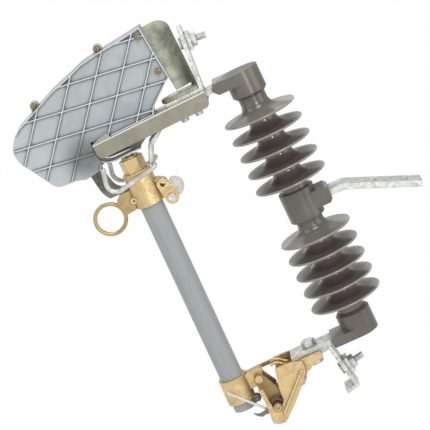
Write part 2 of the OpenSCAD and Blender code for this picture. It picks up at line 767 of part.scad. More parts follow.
// A contact strip along the far side of the bottom bar, towards the foot casting
module lower_contact() color(brass) leaned() {
    t = 3;
    z = low_bar_z + flat_t / 2 - 0.5;
    across(t, bar_w / 2 + seat + t / 2) polygon([[-76, z], [-138, z - 0.8], [-141.4, z - 3.3],
        [-138, z - 5.5], [-96, z - 5.5], [-76, z - 5.5]]);
}

// Fuse holder: drawn about the trunnion pin, +Z up the tube ------------------------------

module on_tube() at_pin() translate([-tube_off, 0, 0]) children();

module fuse_tube() color(tube_grey) on_tube() translate([0, 0, tube_low]) difference() {
    cylinder(d = tube_d, h = head_top_z - tube_low);
    translate([0, 0, -over]) cylinder(d = tube_bore, h = head_top_z - tube_low + 2 * over);
}

// Hollow cap over the tube's upper end, with flats for a spanner and a round nose
module ferrule_cap() color(brass) on_tube() translate([0, 0, head_top_z]) difference() {
    union() {
        hex(cap_af, ferrule_h - 2);
        cylinder(d = cap_af - 4, h = ferrule_h);
        cylinder(d = 10, h = ferrule_h + 3);
    }
    translate([0, 0, -over]) cylinder(d = tube_bore, h = ferrule_h - 5 + over);
}

module head_casting() color(brass) on_tube() {
    difference() {
        union() {
            translate([0, 0, head_low]) cylinder(r = sleeve_r, h = head_l);
            lever_boss();
            translate([ring_pin_x, 0, ring_pin_z]) pin_across(4.5, 20);
        }
        translate([0, 0, head_low - over]) cylinder(r = fit_r, h = head_l + 2 * over);
        translate([lever_hole[0], 0, lever_hole[1]]) pin_across(3, far);
        translate([ring_pin_x, 0, ring_pin_z]) pin_across(1.45, far);
        translate([-sleeve_r - 6, -tang_t / 2 - seat, ring_pin_z - 6]) cube([10, tang_t + 2 * seat, 12]);
        for (s = [-1, 1]) translate([ring_pin_x, 0, ring_pin_z]) pin_across(3.7, 6, s * 13);
    }
}

// Boss on the inner side of the upper casting that carries the lever
lever_hole = [24, head_low + 17.6];
// The pull ring's pin, in a boss through the outer wall of the casting
ring_pin_x = -16.9;
ring_pin_z = head_low + 12.4;
tang_t = 6;
module lever_boss() {
    across(16) {
        polygon([[0, head_low + 4], [12, head_low + 5], [22, head_low + 11.5], [29, head_low + 22],
            [22, head_low + 26], [0, head_low + 30]]);
        translate(lever_hole) circle(6.5);
    }
}

blade_root = head_low + 25.6;    // underside of the blade where it meets the casting
module pull_ring() color(brass) on_tube() difference() {
    top = blade_root - seat;
    union() {
        translate([ring_x, 0, ring_z]) rotate([90, 0, 0]) rotate_extrude() translate([ring_r, 0]) circle(d = ring_t);
        across(tang_t) difference() {
            union() {
                polygon([[-sleeve_r - seat, top], [-31, top], [-37, top - 5],
                    [-40, top - 11], [ring_x + 19, ring_z + 2], [-33, head_low - 2],
                    [-sleeve_r - seat, head_low]]);
                translate([-sleeve_r - over, ring_pin_z - 5]) square([3, 10]);
            }
            translate([ring_x, ring_z]) circle(eye_d / 2 + 1.5);
        }
    }
    translate([ring_pin_x, 0, ring_pin_z]) pin_across(1.45, far);
}

module ring_pin() color(brass) on_tube() translate([ring_pin_x, 0, ring_pin_z]) {
    pin_across(1.4, 22);
    for (s = [-1, 1]) pin_across(3.3, 1.5, s * 10.8);
}

module arcing_blade() color(dark_steel) at_pin() {
    // the outer and inner curve share a centre beside the upper casting
    c = [-57, blade_root + 22.5];
    r = 35;
    x = -tube_off - sleeve_r - seat;
    across(blade_t) polygon(concat([[x, blade_root]], arc(c, r, -140, -172, 8),
        [[-98, 388], [-102, 438], [-97, 444], [-89, 438], [-84, 392]],
        arc(c, r - blade_w - 2, -168, -100, 8), [[x, c[1] - r + blade_w + 3]]));
}

lever_t = 4;
lever_y = -(8 + seat + lever_t / 2);
lever_end = [28.7, head_low - 1.9];
module lever_arm() color(brass) on_tube() difference() {
    across(lever_t, lever_y) hull() {
        translate(lever_hole) circle(7.5);
        translate(lever_end) circle(8.7);
    }
    translate([lever_hole[0], 0, lever_hole[1]]) pin_across(3, far);
    translate([lever_end[0], 0, lever_end[1]]) pin_across(3.2, far);
}

module lever_arm_bolt() color(galvanised) on_tube() translate([lever_end[0], 0, lever_end[1]]) {
    pin_across(2.9, lever_t + 2, lever_y + 1);
    translate([0, lever_y - lever_t / 2, 0]) rotate([90, 0, 0]) hex(10, 3.5);
}

bumper_r = 12;
bumper_at = [36, lever_y + lever_t / 2 + seat, head_low + 8];
// Round behind the lever arm, with a flat where it lies against the casting's boss
module bumper() color([0.85, 0.82, 0.83]) on_tube() difference() {
    translate(bumper_at) rotate([-90, 0, 0]) {
        cylinder(r = bumper_r, h = 9);
        intersection() {
            translate([0, 0, 9]) sphere(r = bumper_r);
            translate([0, 0, 8]) cylinder(r = 2 * bumper_r, h = 2 * bumper_r);
        }
    }
    translate([lever_end[0], 0, lever_end[1]]) pin_across(3.2, 5, lever_y + 2.5);
    translate(bumper_at) rotate([0, 218.7, 0]) translate([8.6, -20, -20]) cube(40);
}

module foot_casting() color(brass) on_tube() difference() {
    union() {
        translate([0, 0, foot_low]) cylinder(r = sleeve_r, h = foot_l);
        across(16) polygon([[0, foot_low + 10], [26, foot_low + 10.5], [35, foot_low + 15],
            [40, foot_top_z - 4.5], [36, foot_top_z - 1.5], [24, foot_top_z - 2.5], [0, foot_top_z - 2.5]]);
    }
    translate([0, 0, foot_low - over]) cylinder(r = fit_r, h = foot_l + 2 * over);
    translate([toggle_at[0], 0, toggle_at[1]]) pin_across(3, far);
}

module toggle_pin() color(galvanised) on_tube() translate([toggle_at[0], 0, toggle_at[1]]) {
    pin_across(2.95, 28.6, -0.9);
    pin_across(5, 2, -15.6);
}

module trunnion_casting() color(brass) at_pin() difference() {
    union() {
        pin_across(10, 32);
        for (s = [-1, 1]) across(5, s * (8 + seat + 2.5)) polygon([[-9.5, 0], [-15, 38],
            [-13, 45], [-8, 47], [-3, 45], [-1, 40], [8.7, 23], [9.5, 0]]);
        across(18) polygon([[-9, 0], [-9, 14], [8.6, 22], [9, 0]]);
    }
    pin_across(pin_d / 2, far);
    translate([toggle_at[0] - tube_off, 0, toggle_at[1]]) pin_across(3, far);
}

module trunnion_pin() color(galvanised) at_pin() difference() {
    pin_across(pin_d / 2, hinge_gap + 2 * plate_t + 1);
    for (s = [-1, 1]) translate([0, s * (hinge_gap / 2 + plate_t + 0.5), 0]) rotate([90, 0, 0])
        translate([0, 0, -3]) hex(5, 6);
}

// Spring strip that pulls the link out, curled round the trunnion pin beside its casting,
// with a short tail
module flipper() color(galvanised) at_pin() across(2.2, -sleeve_r - seat - 1.1) {
    eye_r = 9.3;
    t = 3;
    difference() {
        circle(eye_r + t / 2);
        circle(eye_r - t / 2);
    }
    rotate(133) translate([0, eye_r - t / 2]) square([66, t]);
    polygon([[-32.6, 3], [-28.7, -2.3], [-23.2, -5.6], [-18.5, -4.4], [-9, -5], [-9, 1],
        [-20.5, 0.3], [-25.1, -0.5]]);
}

bracket_bar();
centre_collar();
upper_shed_housing();
lower_shed_housing();
top_end_cap();
bottom_end_cap();
top_bar();
bottom_bar();
contact_hood();
contact_leaf();
contact_support();
contact_spring();
near_hook();
far_hook();
chute_front_half();
chute_back_half();
chute_sheet();
chute_screws();
upper_strap();
upper_stud();
upper_clamp_plates();
upper_nut();
hood_bolts();
hinge_casting();
lower_contact();
hinge_bolt();
lower_strap();
lower_stud();
lower_clamp_plates();
lower_nut();
fuse_tube();
ferrule_cap();
head_casting();
pull_ring();
ring_pin();
arcing_blade();
lever_arm();
lever_arm_bolt();
bumper();
foot_casting();
toggle_pin();
trunnion_casting();
trunnion_pin();
flipper();
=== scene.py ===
# %% [markdown]
# # A dropout fuse cutout with an arc chute
# The object hangs from a bracket bar: a leaning rubber insulator with ten sheds carries a
# sheet-metal hood with an arc chute at its top and a brass hinge at its foot, and a fuse
# tube swings between the two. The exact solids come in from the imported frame. This lesson
# dresses them: cast, galvanised and moulded finishes, sheds, threads, screws and castings'
# small parts. All is in metres, in the frame's own place.

# %% Load the frame
import json
import math

import bmesh
import bpy
from mathutils import Matrix, Vector


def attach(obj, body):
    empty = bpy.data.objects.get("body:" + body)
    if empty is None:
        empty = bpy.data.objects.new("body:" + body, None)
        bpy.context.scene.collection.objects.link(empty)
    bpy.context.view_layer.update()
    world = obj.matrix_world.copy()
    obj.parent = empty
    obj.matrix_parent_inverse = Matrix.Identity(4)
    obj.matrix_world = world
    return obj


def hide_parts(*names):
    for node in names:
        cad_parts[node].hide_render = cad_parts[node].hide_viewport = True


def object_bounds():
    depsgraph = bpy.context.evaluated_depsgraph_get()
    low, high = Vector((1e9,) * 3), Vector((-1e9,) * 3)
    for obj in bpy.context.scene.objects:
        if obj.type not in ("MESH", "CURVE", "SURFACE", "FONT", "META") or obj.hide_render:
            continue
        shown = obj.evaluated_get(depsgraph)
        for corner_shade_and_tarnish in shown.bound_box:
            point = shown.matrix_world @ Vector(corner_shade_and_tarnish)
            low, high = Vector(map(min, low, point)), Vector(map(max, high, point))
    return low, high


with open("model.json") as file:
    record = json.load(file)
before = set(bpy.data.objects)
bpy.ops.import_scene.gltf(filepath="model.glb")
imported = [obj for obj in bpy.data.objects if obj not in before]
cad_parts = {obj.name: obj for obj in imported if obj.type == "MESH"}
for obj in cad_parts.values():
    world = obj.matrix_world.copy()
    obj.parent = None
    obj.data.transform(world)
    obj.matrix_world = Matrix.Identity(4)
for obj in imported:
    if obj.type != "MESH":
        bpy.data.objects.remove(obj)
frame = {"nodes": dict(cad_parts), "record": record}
cad_low, cad_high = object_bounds()
nodes = frame["nodes"]
print("nodes", len(nodes), "box", [round(v, 3) for v in cad_low], [round(v, 3) for v in cad_high])

# %% [markdown]
# The source draws most pieces upright about the insulator's axis and then leans them over,
# and the hood and the fuse tube have small leans of their own. The same frames are set up
# here from the same few sizes, in millimetres, so that each new piece can be given its place
# in the words of the workshop drawing: so far along the tube, so far from the hood's end.

# %% The object's own frames
MM = 0.001
LEAN, DROOP, TUBE_LEAN = 23.0, 1.3, 1.1
ORIGIN = (110.111, -18.199)         # the bracket's middle, from the insulator's centre
ARM, BAR_Z, HOOD_GAP = 39.0, 177.5, 10.0        # the top bar's arm, height and gap to the hood
BAR_HALF = 5.0                      # from the top bar's middle to the hood's upper face
STRAP_LEAN, LOW_STRAP_LEAN = 6.0, 10.5
STRAP_OFF = 5.0                     # from the hood's near end to the upper strap
LOW_STRAP_AT = (-42.7, -180.5)      # the lower strap's foot, from the insulator's centre
PIN = (-136.0, -224.0)              # the hinge pin, from the insulator's centre
TUBE_OFF = 40.0                     # the fuse tube's axis, from the pin


def tilt(degrees):
    """A turn in the side view that takes +X towards +Z."""
    return Matrix.Rotation(math.radians(-degrees), 4, "Y")


def shift(x, y, z):
    """A move by so much along each axis."""
    return Matrix.Translation((x, y, z))


UPRIGHT = Matrix.Scale(MM, 4) @ tilt(LEAN) @ shift(-ORIGIN[0], 0, -ORIGIN[1])
HOOD = UPRIGHT @ shift(-ARM, 0, BAR_Z) @ tilt(DROOP) @ shift(-HOOD_GAP, 0, BAR_HALF)
AT_PIN = UPRIGHT @ shift(PIN[0], 0, PIN[1]) @ tilt(-TUBE_LEAN)
TUBE = AT_PIN @ shift(-TUBE_OFF, 0, 0)
STRAP = HOOD @ shift(-STRAP_OFF, 0, 0) @ tilt(-STRAP_LEAN)
LOW_STRAP = UPRIGHT @ shift(LOW_STRAP_AT[0], 0, LOW_STRAP_AT[1]) @ tilt(LOW_STRAP_LEAN - 90)
ACROSS = Matrix.Rotation(math.radians(90), 4, "X")      # turns +Z to -Y, towards the front
AWAY = ACROSS.inverted()                                # turns +Z to +Y, towards the back
print("pin", [round(v, 4) for v in AT_PIN.translation])
print("hood", [round(v, 4) for v in HOOD.translation])

# %% [markdown]
# ## Finishes
# A finish is a small calculation: where is this spot, how worn is it, what colour and how
# rough does that make it? Painted pictures would need every curved piece unwrapped; sums on
# a spot's place need nothing of the kind, and hold for any piece in the frame. Writing them as
# node links is long, so one small class wraps a socket and lets Python's own signs add the
# Math nodes.

# %% A socket that can be reckoned with
class Value:
    """A number on a surface, wrapped so that + - * / and ** add Math nodes."""

    def __init__(self, bench, socket):
        self.bench, self.socket = bench, socket

    def _math(self, operation, *others):
        return Value(self.bench, self.bench.node("ShaderNodeMath", {"operation": operation}, {
            i: o for i, o in enumerate(others)}).outputs[0])

    def __add__(self, o): return self._math("ADD", self, o)
    def __radd__(self, o): return self._math("ADD", o, self)
    def __sub__(self, o): return self._math("SUBTRACT", self, o)
    def __rsub__(self, o): return self._math("SUBTRACT", o, self)
    def __mul__(self, o): return self._math("MULTIPLY", self, o)
    def __truediv__(self, o): return self._math("DIVIDE", self, o)
    def __pow__(self, o): return self._math("POWER", self, o)
    def abs(self): return self._math("ABSOLUTE", self)
    def sin(self): return self._math("SINE", self)

    def between(self, low, high):
        """0 below low, 1 above high and smooth in between. low may be the larger one."""
        return Value(self.bench, self.bench.node(
            "ShaderNodeMapRange", {"interpolation_type": "SMOOTHSTEP"},
            {"Value": self, "From Min": low, "From Max": high}).outputs["Result"])


# %% [markdown]
# A second class makes all the other nodes. The usual ones get a method each: a spot's place,
# clouds of noise, a blend of two colours, edges for wear and painted highlights, hollows for
# tarnish and painted shade, and a bumpy normal.

# %% A bench for nodes
class Bench:
    """The node tree of one finish, with a method for any node and a few for the usual ones."""

    def __init__(self, tree):
        self.tree = tree

    def node(self, kind, settings=None, inputs=None):
        """A new node with its settings, and each input set to a number or linked to a socket."""
        made = self.tree.nodes.new(kind)
        for key, value in (settings or {}).items():
            setattr(made, key, value)
        for key, value in (inputs or {}).items():
            socket = made.inputs[key]
            if isinstance(value, Value):
                self.tree.links.new(value.socket, socket)
            elif isinstance(value, bpy.types.NodeSocket):
                self.tree.links.new(value, socket)
            else:
                socket.default_value = value
        return made

    def place(self, matrix=None):
        """Where a spot is, in metres; or in millimetres in one of the object's own frames."""
        spot = self.node("ShaderNodeTexCoord").outputs["Object"]
        if matrix is None:
            return spot
        back = matrix.inverted()
        return self.node("ShaderNodeMapping", {"vector_type": "POINT"}, {
            "Vector": spot, "Location": back.translation, "Rotation": back.to_euler(),
            "Scale": back.to_scale()}).outputs[0]

    def noise(self, where, scale, detail=3.0, rough=0.55, warp=0.0):
        """A cloudy value from 0 to 1, with so many clouds to the metre."""
        return Value(self, self.node("ShaderNodeTexNoise", None, {
            "Vector": where, "Scale": scale, "Detail": detail, "Roughness": rough,
            "Distortion": warp}).outputs[0])

    def split(self, vector):
        """A vector's three numbers."""
        parts = self.node("ShaderNodeSeparateXYZ", None, {0: vector}).outputs
        return [Value(self, part) for part in parts]

    def blend(self, how_much, one, other):
        """A colour between two: one at 0, other at 1."""
        made = self.node("ShaderNodeMix", {"data_type": "RGBA"}, {0: how_much})
        for index, colour in ((6, one), (7, other)):
            if isinstance(colour, bpy.types.NodeSocket):
                self.tree.links.new(colour, made.inputs[index])
            else:
                made.inputs[index].default_value = (*colour, 1.0)
        return made.outputs[2]

    def edges(self, radius):
        """The normal with edges eased by a radius, and how near an edge a spot is, 0 to 1."""
        eased = self.node("ShaderNodeBevel", {"samples": 4}, {"Radius": radius}).outputs[0]
        flat = self.node("ShaderNodeNewGeometry").outputs["Normal"]
        same = self.node("ShaderNodeVectorMath", {"operation": "DOT_PRODUCT"}, {0: eased, 1: flat})
        return eased, Value(self, same.outputs["Value"]).between(0.995, 0.80)

    def hollow(self, distance, alone=True):
        """How deep in a corner a spot lies, 0 to 1, by the piece alone or with its neighbours."""
        unshaded = self.node("ShaderNodeAmbientOcclusion", {"samples": 6, "only_local": alone},
                             {"Distance": distance}).outputs["AO"]
        return Value(self, unshaded).between(0.95, 0.35)

    def bump(self, height, distance, eased=None):
        """A normal roughened by a height, over the eased one where there is one."""
        inputs = {"Height": height, "Distance": distance}
        if eased is not None:
            inputs["Normal"] = eased
        return self.node("ShaderNodeBump", None, inputs).outputs[0]


# %% [markdown]
# Each finish is then a recipe: a function that takes a bench and returns what varies over the
# surface. Tones are written as on a paint card and turned into light here.

# %% Tones and finishes
def shade(red, green, blue):
    """A colour as a paint card gives it, 0 to 255, as light."""
    return tuple((c / 255 / 12.92) if c < 10.3 else ((c / 255 + 0.055) / 1.055) ** 2.4
                 for c in (red, green, blue))


def finish(name, recipe, **constants):
    """A material: the recipe returns what varies, and constants are set on the shader."""
    material = bpy.data.materials.new(name)
    material.use_nodes = True
    tree = material.node_tree
    tree.nodes.clear()
    bench = Bench(tree)
    shader = bench.node("ShaderNodeBsdfPrincipled")
    for key, value in constants.items():
        shader.inputs[key.replace("_", " ")].default_value = value
    for key, value in recipe(bench).items():
        if isinstance(value, Value):
            value = value.socket
        tree.links.new(value, shader.inputs[key])
    out = bench.node("ShaderNodeOutputMaterial")
    tree.links.new(shader.outputs[0], out.inputs["Surface"])
    print("finish", name, len(tree.nodes), "nodes")
    return material


# %% [markdown]
# ** Silicone rubber.** The sheds and the caps are injection-moulded rubber, brown and glossy
# on the sheath, greyer and satin on the caps; the brown that spreads over the sheds' inner
# faces is partly painted shade between the sheds. Whatever faces up is paler, partly from
# dust and partly as painted light: most of all on the sheds' left and right sides and back,
# painted as lit while their front middle stays in shade, and on the first shed of each half,
# painted as lit because no shed above shades it. The paleness follows the normal's height,
# broken up by noise, and makes the rubber duller. So it stays right wherever a shed faces,
# which paleness painted on one spot would not. Painted shade darkens the deep parts between
# the sheds, and a painted highlight lightens the edges and a line along each rim.

# %% Silicone rubber
# Where the rubber's look changes, in millimetres: heights from the insulator's middle, each
# pair as none and full, then distances from its axis.
UPPER_FIRST, LOWER_FIRST, UNDER_COLLAR = (119.5, 125), (-47, -43), (-16, -20)
TOP_CAP, COLLAR = (150, 152), (20.5, 19.5)
# from the sheath out: where the paleness of dust and painted light begins, where the brown, partly
# painted shade, fades to grey, and the band of the rim's painted highlight
DUST_AND_LIGHT_FROM, GREYER, RIM_HIGHLIGHT = (19, 26), (23, 42), (45.6, 46.5)


def silicone_recipe(b):
    where = b.place()
    clouds = b.noise(where, 38, 4)
    grain = b.noise(where, 900, 2)
    eased, edge = b.edges(0.0009)
    up = b.split(b.node("ShaderNodeNewGeometry").outputs["Normal"])[2]
    x, y, z = b.split(b.place(UPRIGHT))
    out = (x * x + y * y) ** 0.5
    # the first shed of each half, painted lighter as no shed above shades it
    unshaded = z.between(*UPPER_FIRST) + z.between(*LOWER_FIRST) * z.between(*UNDER_COLLAR)
    # the sheds' left and right sides and back, painted as lit, their front middle left darker as in
    # shade
    sides = (x.abs() + y * 0.8).between(19, 33)
    # paler up-facing rubber, partly dust and partly painted light
    dust_and_light = up.between(0.3, 0.9) * (clouds * 0.4 + 0.6) * out.between(*DUST_AND_LIGHT_FROM)
    dust_and_light = dust_and_light * (sides + (1 - sides) * unshaded.between(0, 1) * 0.25)
    sheath = b.blend(clouds.between(0.3, 0.7), shade(112, 98, 98), shade(124, 110, 109))
    cap = b.blend(clouds.between(0.3, 0.7), shade(91, 85, 77), shade(102, 96, 88))
    caps = z.abs().between(*TOP_CAP) + z.abs().between(*COLLAR)
    pale = (caps + unshaded).between(0, 1)
    # the sheath's brown, fading to grey outwards over the sheds, is partly painted shade between
    # the sheds
    base = b.blend(pale + (1 - pale) * out.between(*GREYER), sheath, cap)
    # painted shade deep between the sheds
    base = b.blend(b.hollow(0.030) * 0.3, base, shade(74, 60, 58))
    # painted highlight on the edges, then along each rim
    edge_and_rim_highlight = b.blend(edge * 0.6, base, shade(184, 183, 170))
    edge_and_rim_highlight = b.blend(out.between(*RIM_HIGHLIGHT) * 0.4, edge_and_rim_highlight, shade(180, 180, 168))
    return {"Base Color": b.blend(dust_and_light * 0.85, edge_and_rim_highlight, shade(198, 199, 186)),
            "Roughness": 0.17 + caps * 0.08 + dust_and_light * 0.35 + clouds * 0.06,
            "Normal": b.bump(grain * 0.35 + clouds, 0.0001, eased)}


silicone = finish("silicone_rubber", silicone_recipe, Specular_IOR_Level=0.75)

# %% [markdown]
# ** Hot-dip galvanising.** Zinc freezes in crystals, so a Voronoi pattern gives each patch its
# own brightness and roughness, a finer noise breaks the patches up, and pale bare runs follow
# the edges, where the zinc lies thicker. Painted shade darkens the corners, also where a piece
# meets its neighbours.

# %% Galvanised steel
def galvanised_recipe(b):
    where = b.place()
    cells = b.node("ShaderNodeTexVoronoi", {"feature": "F1"}, {
        "Vector": where, "Scale": 210.0, "Randomness": 1.0}).outputs["Color"]
    patch = b.split(cells)[0]
    clouds = b.noise(where, 95, 4, 0.65, 0.6)
    grain = b.noise(where, 620, 3, 0.7)
    eased, edge = b.edges(0.0010)
    tone = patch * 0.25 + clouds * 0.5 + grain * 0.25
    # painted shade in the corners and against neighbouring pieces
    corner_shade_and_tarnish = b.hollow(0.005, False)
    base = b.blend(tone.between(0.28, 0.72), shade(182, 184, 179), shade(230, 231, 226))
    base = b.blend(edge * 0.5, base, shade(242, 242, 238))
    return {"Base Color": b.blend(corner_shade_and_tarnish * 0.7, base, shade(84, 82, 74)),
            "Metallic": 0.50 + clouds * 0.15,
            "Roughness": 0.28 + patch * 0.10 + grain * 0.22,
            "Normal": b.bump(grain * 0.6 + clouds, 0.00035, eased)}


galvanised = finish("galvanised", galvanised_recipe)

# %% [markdown]
# ** Passivated sheet.** The hood and the chute's bracket are zinc-plated sheet with a dull
# olive-grey passivation. It is cloudy and a little yellow in places, and its edges are paler,
# partly rubbed bright and partly a painted highlight; the hood's upper bend has a painted
# highlight as well. The two sheets differ in tone and that bend only, so one function makes
# both recipes.

# %% Passivated sheet
TOP_BEND = (-1.9, -1.1)             # heights on the hood between which its upper bend begins


def passivated(dark, pale, warm, top_highlight=0.0):
    """A recipe for a sheet's dark, pale and warm tones, with a painted highlight of so much on its
    upper bend.
    """
    def recipe(b):
        where = b.place()
        clouds = b.noise(where, 42, 5, 0.62, 0.8)
        blots = b.noise(where, 130, 3, 0.6)
        grain = b.noise(where, 1500, 2)
        eased, edge = b.edges(0.0008)
        base = b.blend(clouds.between(0.32, 0.68), dark, pale)
        tinted_and_lit = b.blend(blots.between(0.5, 0.75) * 0.5, base, warm)
        # a painted highlight on the hood's upper bend, as if lit from above
        height = b.split(b.place(HOOD))[2]
        tinted_and_lit = b.blend(height.between(*TOP_BEND) * top_highlight, tinted_and_lit, shade(232, 230, 218))
        # paler edges: partly rubbed bright, partly painted highlight
        return {"Base Color": b.blend(edge * 0.6, tinted_and_lit, shade(205, 205, 196)),
                "Metallic": 0.45 + clouds * 0.2,
                "Roughness": 0.40 + clouds * 0.18,
                "Normal": b.bump(grain * 0.3 + blots, 0.00012, eased)}
    return recipe


hood_sheet = finish("hood_sheet", passivated(shade(140, 136, 122), shade(156, 152, 138),
                                             shade(152, 145, 124), 0.85))
bracket_sheet = finish("bracket_sheet", passivated(shade(126, 128, 114), shade(178, 180, 164),
                                                   shade(164, 162, 134)))

# %% [markdown]
# **Dark springs.** The parts inside the hood and the arcing blade have a dull dark coat that
# shows steel where its edges are rubbed. The Bevel node finds the edges while it renders, so
# the mesh needs no rounds and no painted wear.

# %% Dark coated steel
def dark_recipe(b):
    where = b.place()
    clouds = b.noise(where, 85, 4, 0.6)
    grain = b.noise(where, 800, 2)
    eased, edge = b.edges(0.0007)
    base = b.blend(clouds.between(0.3, 0.7), shade(92, 94, 87), shade(128, 129, 119))
    return {"Base Color": b.blend(edge * 0.7, base, shade(170, 170, 160)),
            "Metallic": 0.5 + edge * 0.3,
            "Roughness": 0.42 + clouds * 0.2,
            "Normal": b.bump(grain, 0.00012, eased)}


dark_steel = finish("dark_coated_steel", dark_recipe)

# %% [markdown]
# The spring strip that throws the link out is plain bright steel, dark brown where it curls
# round the pin and dark at its short foot; its place round the pin tells the three apart.

# %% Bright spring strip
def away(spot, middle):
    """How far a spot is from a middle in the side view, in millimetres."""
    x, z = spot[0] - middle[0], spot[2] - middle[1]
    return (x * x + z * z) ** 0.5


CURL, FOOT_X, FOOT_Z = (14.5, 12.0), (-9.0, -11.0), (5.0, 2.0)      # from the pin's middle


def strip_recipe(b):
    where = b.place()
    marks = b.noise(where, 240, 4, 0.6)
    eased, edge = b.edges(0.0006)
    at_pin = b.split(b.place(AT_PIN))
    curl = away(at_pin, (0, 0)).between(*CURL)
    foot = at_pin[2].between(*FOOT_Z) * at_pin[0].between(*FOOT_X)
    base = b.blend(marks.between(0.3, 0.7), shade(206, 207, 202), shade(232, 233, 229))
    base = b.blend(foot * 0.9, base, shade(104, 106, 100))
    return {"Base Color": b.blend(curl * (1 - foot) * 0.9, base, shade(78, 60, 36)),
            "Metallic": 0.45 + edge * 0.3,
            "Roughness": 0.22 + marks * 0.2,
            "Normal": b.bump(marks, 0.0001, eased)}


spring_strip = finish("spring_strip", strip_recipe)

# %% [markdown]
# ** Moulded chute.** The chute is a filled grey-blue plastic. Between the ribs the flat is a
# bit uneven from the mould. Painted shade darkens its corners and the foot of its ribs, its
# lower part towards the bracket bar, and a patch low down next to the hood's free end; painted
# light brightens the rib crests and the chute's end away from the bracket bar.

# %% Chute plastic
# Places on the chute in the hood's frame, in millimetres
EARS = ((-94.9, 102.5), (-196.4, 73.8))
# the painted shade low down next to the hood's free end: its middle, then the distances where it is
# none and where full
LOW_SHADE_AT, LOW_SHADE_REACH = (-167, -9), (38, 8)
RIB_TOP = (15.8, 17.0)              # from the chute's middle plane: its skin, then its ribs


def chute_recipe(b):
    where = b.place()
    at_hood = b.split(b.place(HOOD))
    flow = b.noise(where, 30, 3, 0.5, 1.2)
    speck = b.noise(where, 420, 3, 0.6)
    eased, edge = b.edges(0.0009)
    corner_shade_and_tarnish = b.hollow(0.005)
    # painted shade low down next to the hood's free end
    low_shade = away(at_hood, LOW_SHADE_AT).between(*LOW_SHADE_REACH) * (0.4 + flow * 0.9)
    shadow = at_hood[2].between(50, 0) * at_hood[0].between(-170, -110) * 0.44
    # a painted highlight on the rib crests
    rib_highlight = at_hood[1].abs().between(*RIB_TOP)
    base = b.blend(flow.between(0.3, 0.7), shade(167, 175, 176), shade(176, 184, 186))
    base = b.blend(speck.between(0.55, 0.8) * 0.2, base, shade(154, 162, 165))
    # painted light: paler towards the chute's end away from the bracket bar
    base = b.blend(at_hood[0].between(-170, -225) * 0.6, base, shade(194, 199, 199))
    base = b.blend(shadow, base, shade(122, 128, 142))
    base = b.blend(rib_highlight * 0.75, base, shade(206, 212, 213))
    for ear in EARS:
        base = b.blend(away(at_hood, ear).between(8.5, 7.5), base, shade(190, 186, 172))
    base = b.blend(edge * 0.5, base, shade(214, 219, 219))
    # painted shade in the corners, along the foot of the ribs
    base = b.blend((corner_shade_and_tarnish * 1.3).between(0, 1) * 0.9, base, shade(88, 94, 98))
    return {"Base Color": b.blend(low_shade * 0.85, base, shade(92, 95, 94)),
            "Roughness": 0.40 + flow * 0.15,
            "Normal": b.bump(flow * 1.5 + speck * 0.25, 0.0003, eased)}


chute_plastic = finish("chute_plastic", chute_recipe, Specular_IOR_Level=0.4)

# %% [markdown]
# **Cast brass.** The castings are blasted and left raw: pale yellow, with a fine sand-cast
# grain, brown in the corners and darker in patches, and bright where a hand or a hook rubs.
# The hollow mask looks at the piece's own shape, so the dirt sits where dirt would.

# %% Brass
def brass_recipe(pale, brown, grain_height, shine):
    """A recipe for a brass of two tones, with so deep a grain and so rough a shine."""
    def recipe(b):
        where = b.place()
        patches = b.noise(where, 60, 5, 0.65, 0.9)
        sand = b.noise(where, 700, 4, 0.7)
        eased, edge = b.edges(0.0010)
        corner_shade_and_tarnish = b.hollow(0.007)
        base = b.blend(patches.between(0.38, 0.72), pale, tuple(c * 0.72 for c in pale))
        base = b.blend(sand.between(0.55, 0.8) * 0.25, base, brown)
        base = b.blend(edge * 0.45, base, shade(244, 228, 190))
        return {"Base Color": b.blend(corner_shade_and_tarnish * 0.8, base, brown),
                "Metallic": 0.80 + edge * 0.15 - corner_shade_and_tarnish * 0.3,
                "Roughness": shine + sand * 0.2 + corner_shade_and_tarnish * 0.2,
                "Normal": b.bump(sand * 0.6 + patches, grain_height, eased)}
    return recipe


cast_brass, dark_hinge_brass, turned_brass, screw_brass, ring_brass = (
    finish(name, brass_recipe(shade(*pale), shade(*brown), grain, shine))
    for name, pale, brown, grain, shine in (
        ("cast_brass", (228, 200, 148), (86, 62, 28), 0.0005, 0.24),
        ("dark_hinge_brass", (174, 147, 100), (70, 52, 28), 0.0006, 0.30),
        ("turned_brass", (230, 200, 148), (92, 68, 34), 0.0001, 0.20),
        ("screw_brass", (158, 144, 118), (70, 58, 44), 0.0001, 0.30),
        ("ring_brass", (194, 172, 122), (110, 84, 46), 0.0002, 0.27)))

# %% [markdown]
# The pull ring's pin is riveted over: a pale rim round a drilled middle, whose darkness is
# painted shade. A real hole would be lost at this size. The pin's middle is known in the
# tube's frame, so the distance from it gives the rim and the hole's painted shade as two tones.

# %% Riveted pin
HEAD_LOW = 303.0                    # the head casting's lower edge, along the tube
RING_PIN = (-16.9, HEAD_LOW + 12.4)
DRILLED = (1.7, 1.1)                # the rim's inner edge and the drilled middle's, radii


def riveted(b):
    middle = away(b.split(b.place(TUBE)), RING_PIN)
    marks = b.noise(b.place(), 500, 3)
    pale = b.blend(marks, shade(206, 192, 158), shade(232, 222, 196))
    # the drilled middle's dark is painted shade
    return {"Base Color": b.blend(middle.between(*DRILLED), pale, shade(44, 30, 16)),
            "Metallic": 0.5 + marks * 0.2,
            "Roughness": 0.28 + marks * 0.2}


rivet_brass = finish("rivet_brass", riveted)

# %% [markdown]
# **Fuse tube.** A tube wound of glass fibre and painted grey. Under the paint the winding
# still shows as a faint spiral band, drawn in the tube's own frame from its angle and height,
# and the brush left long streaks, which are noise pulled out along the tube.

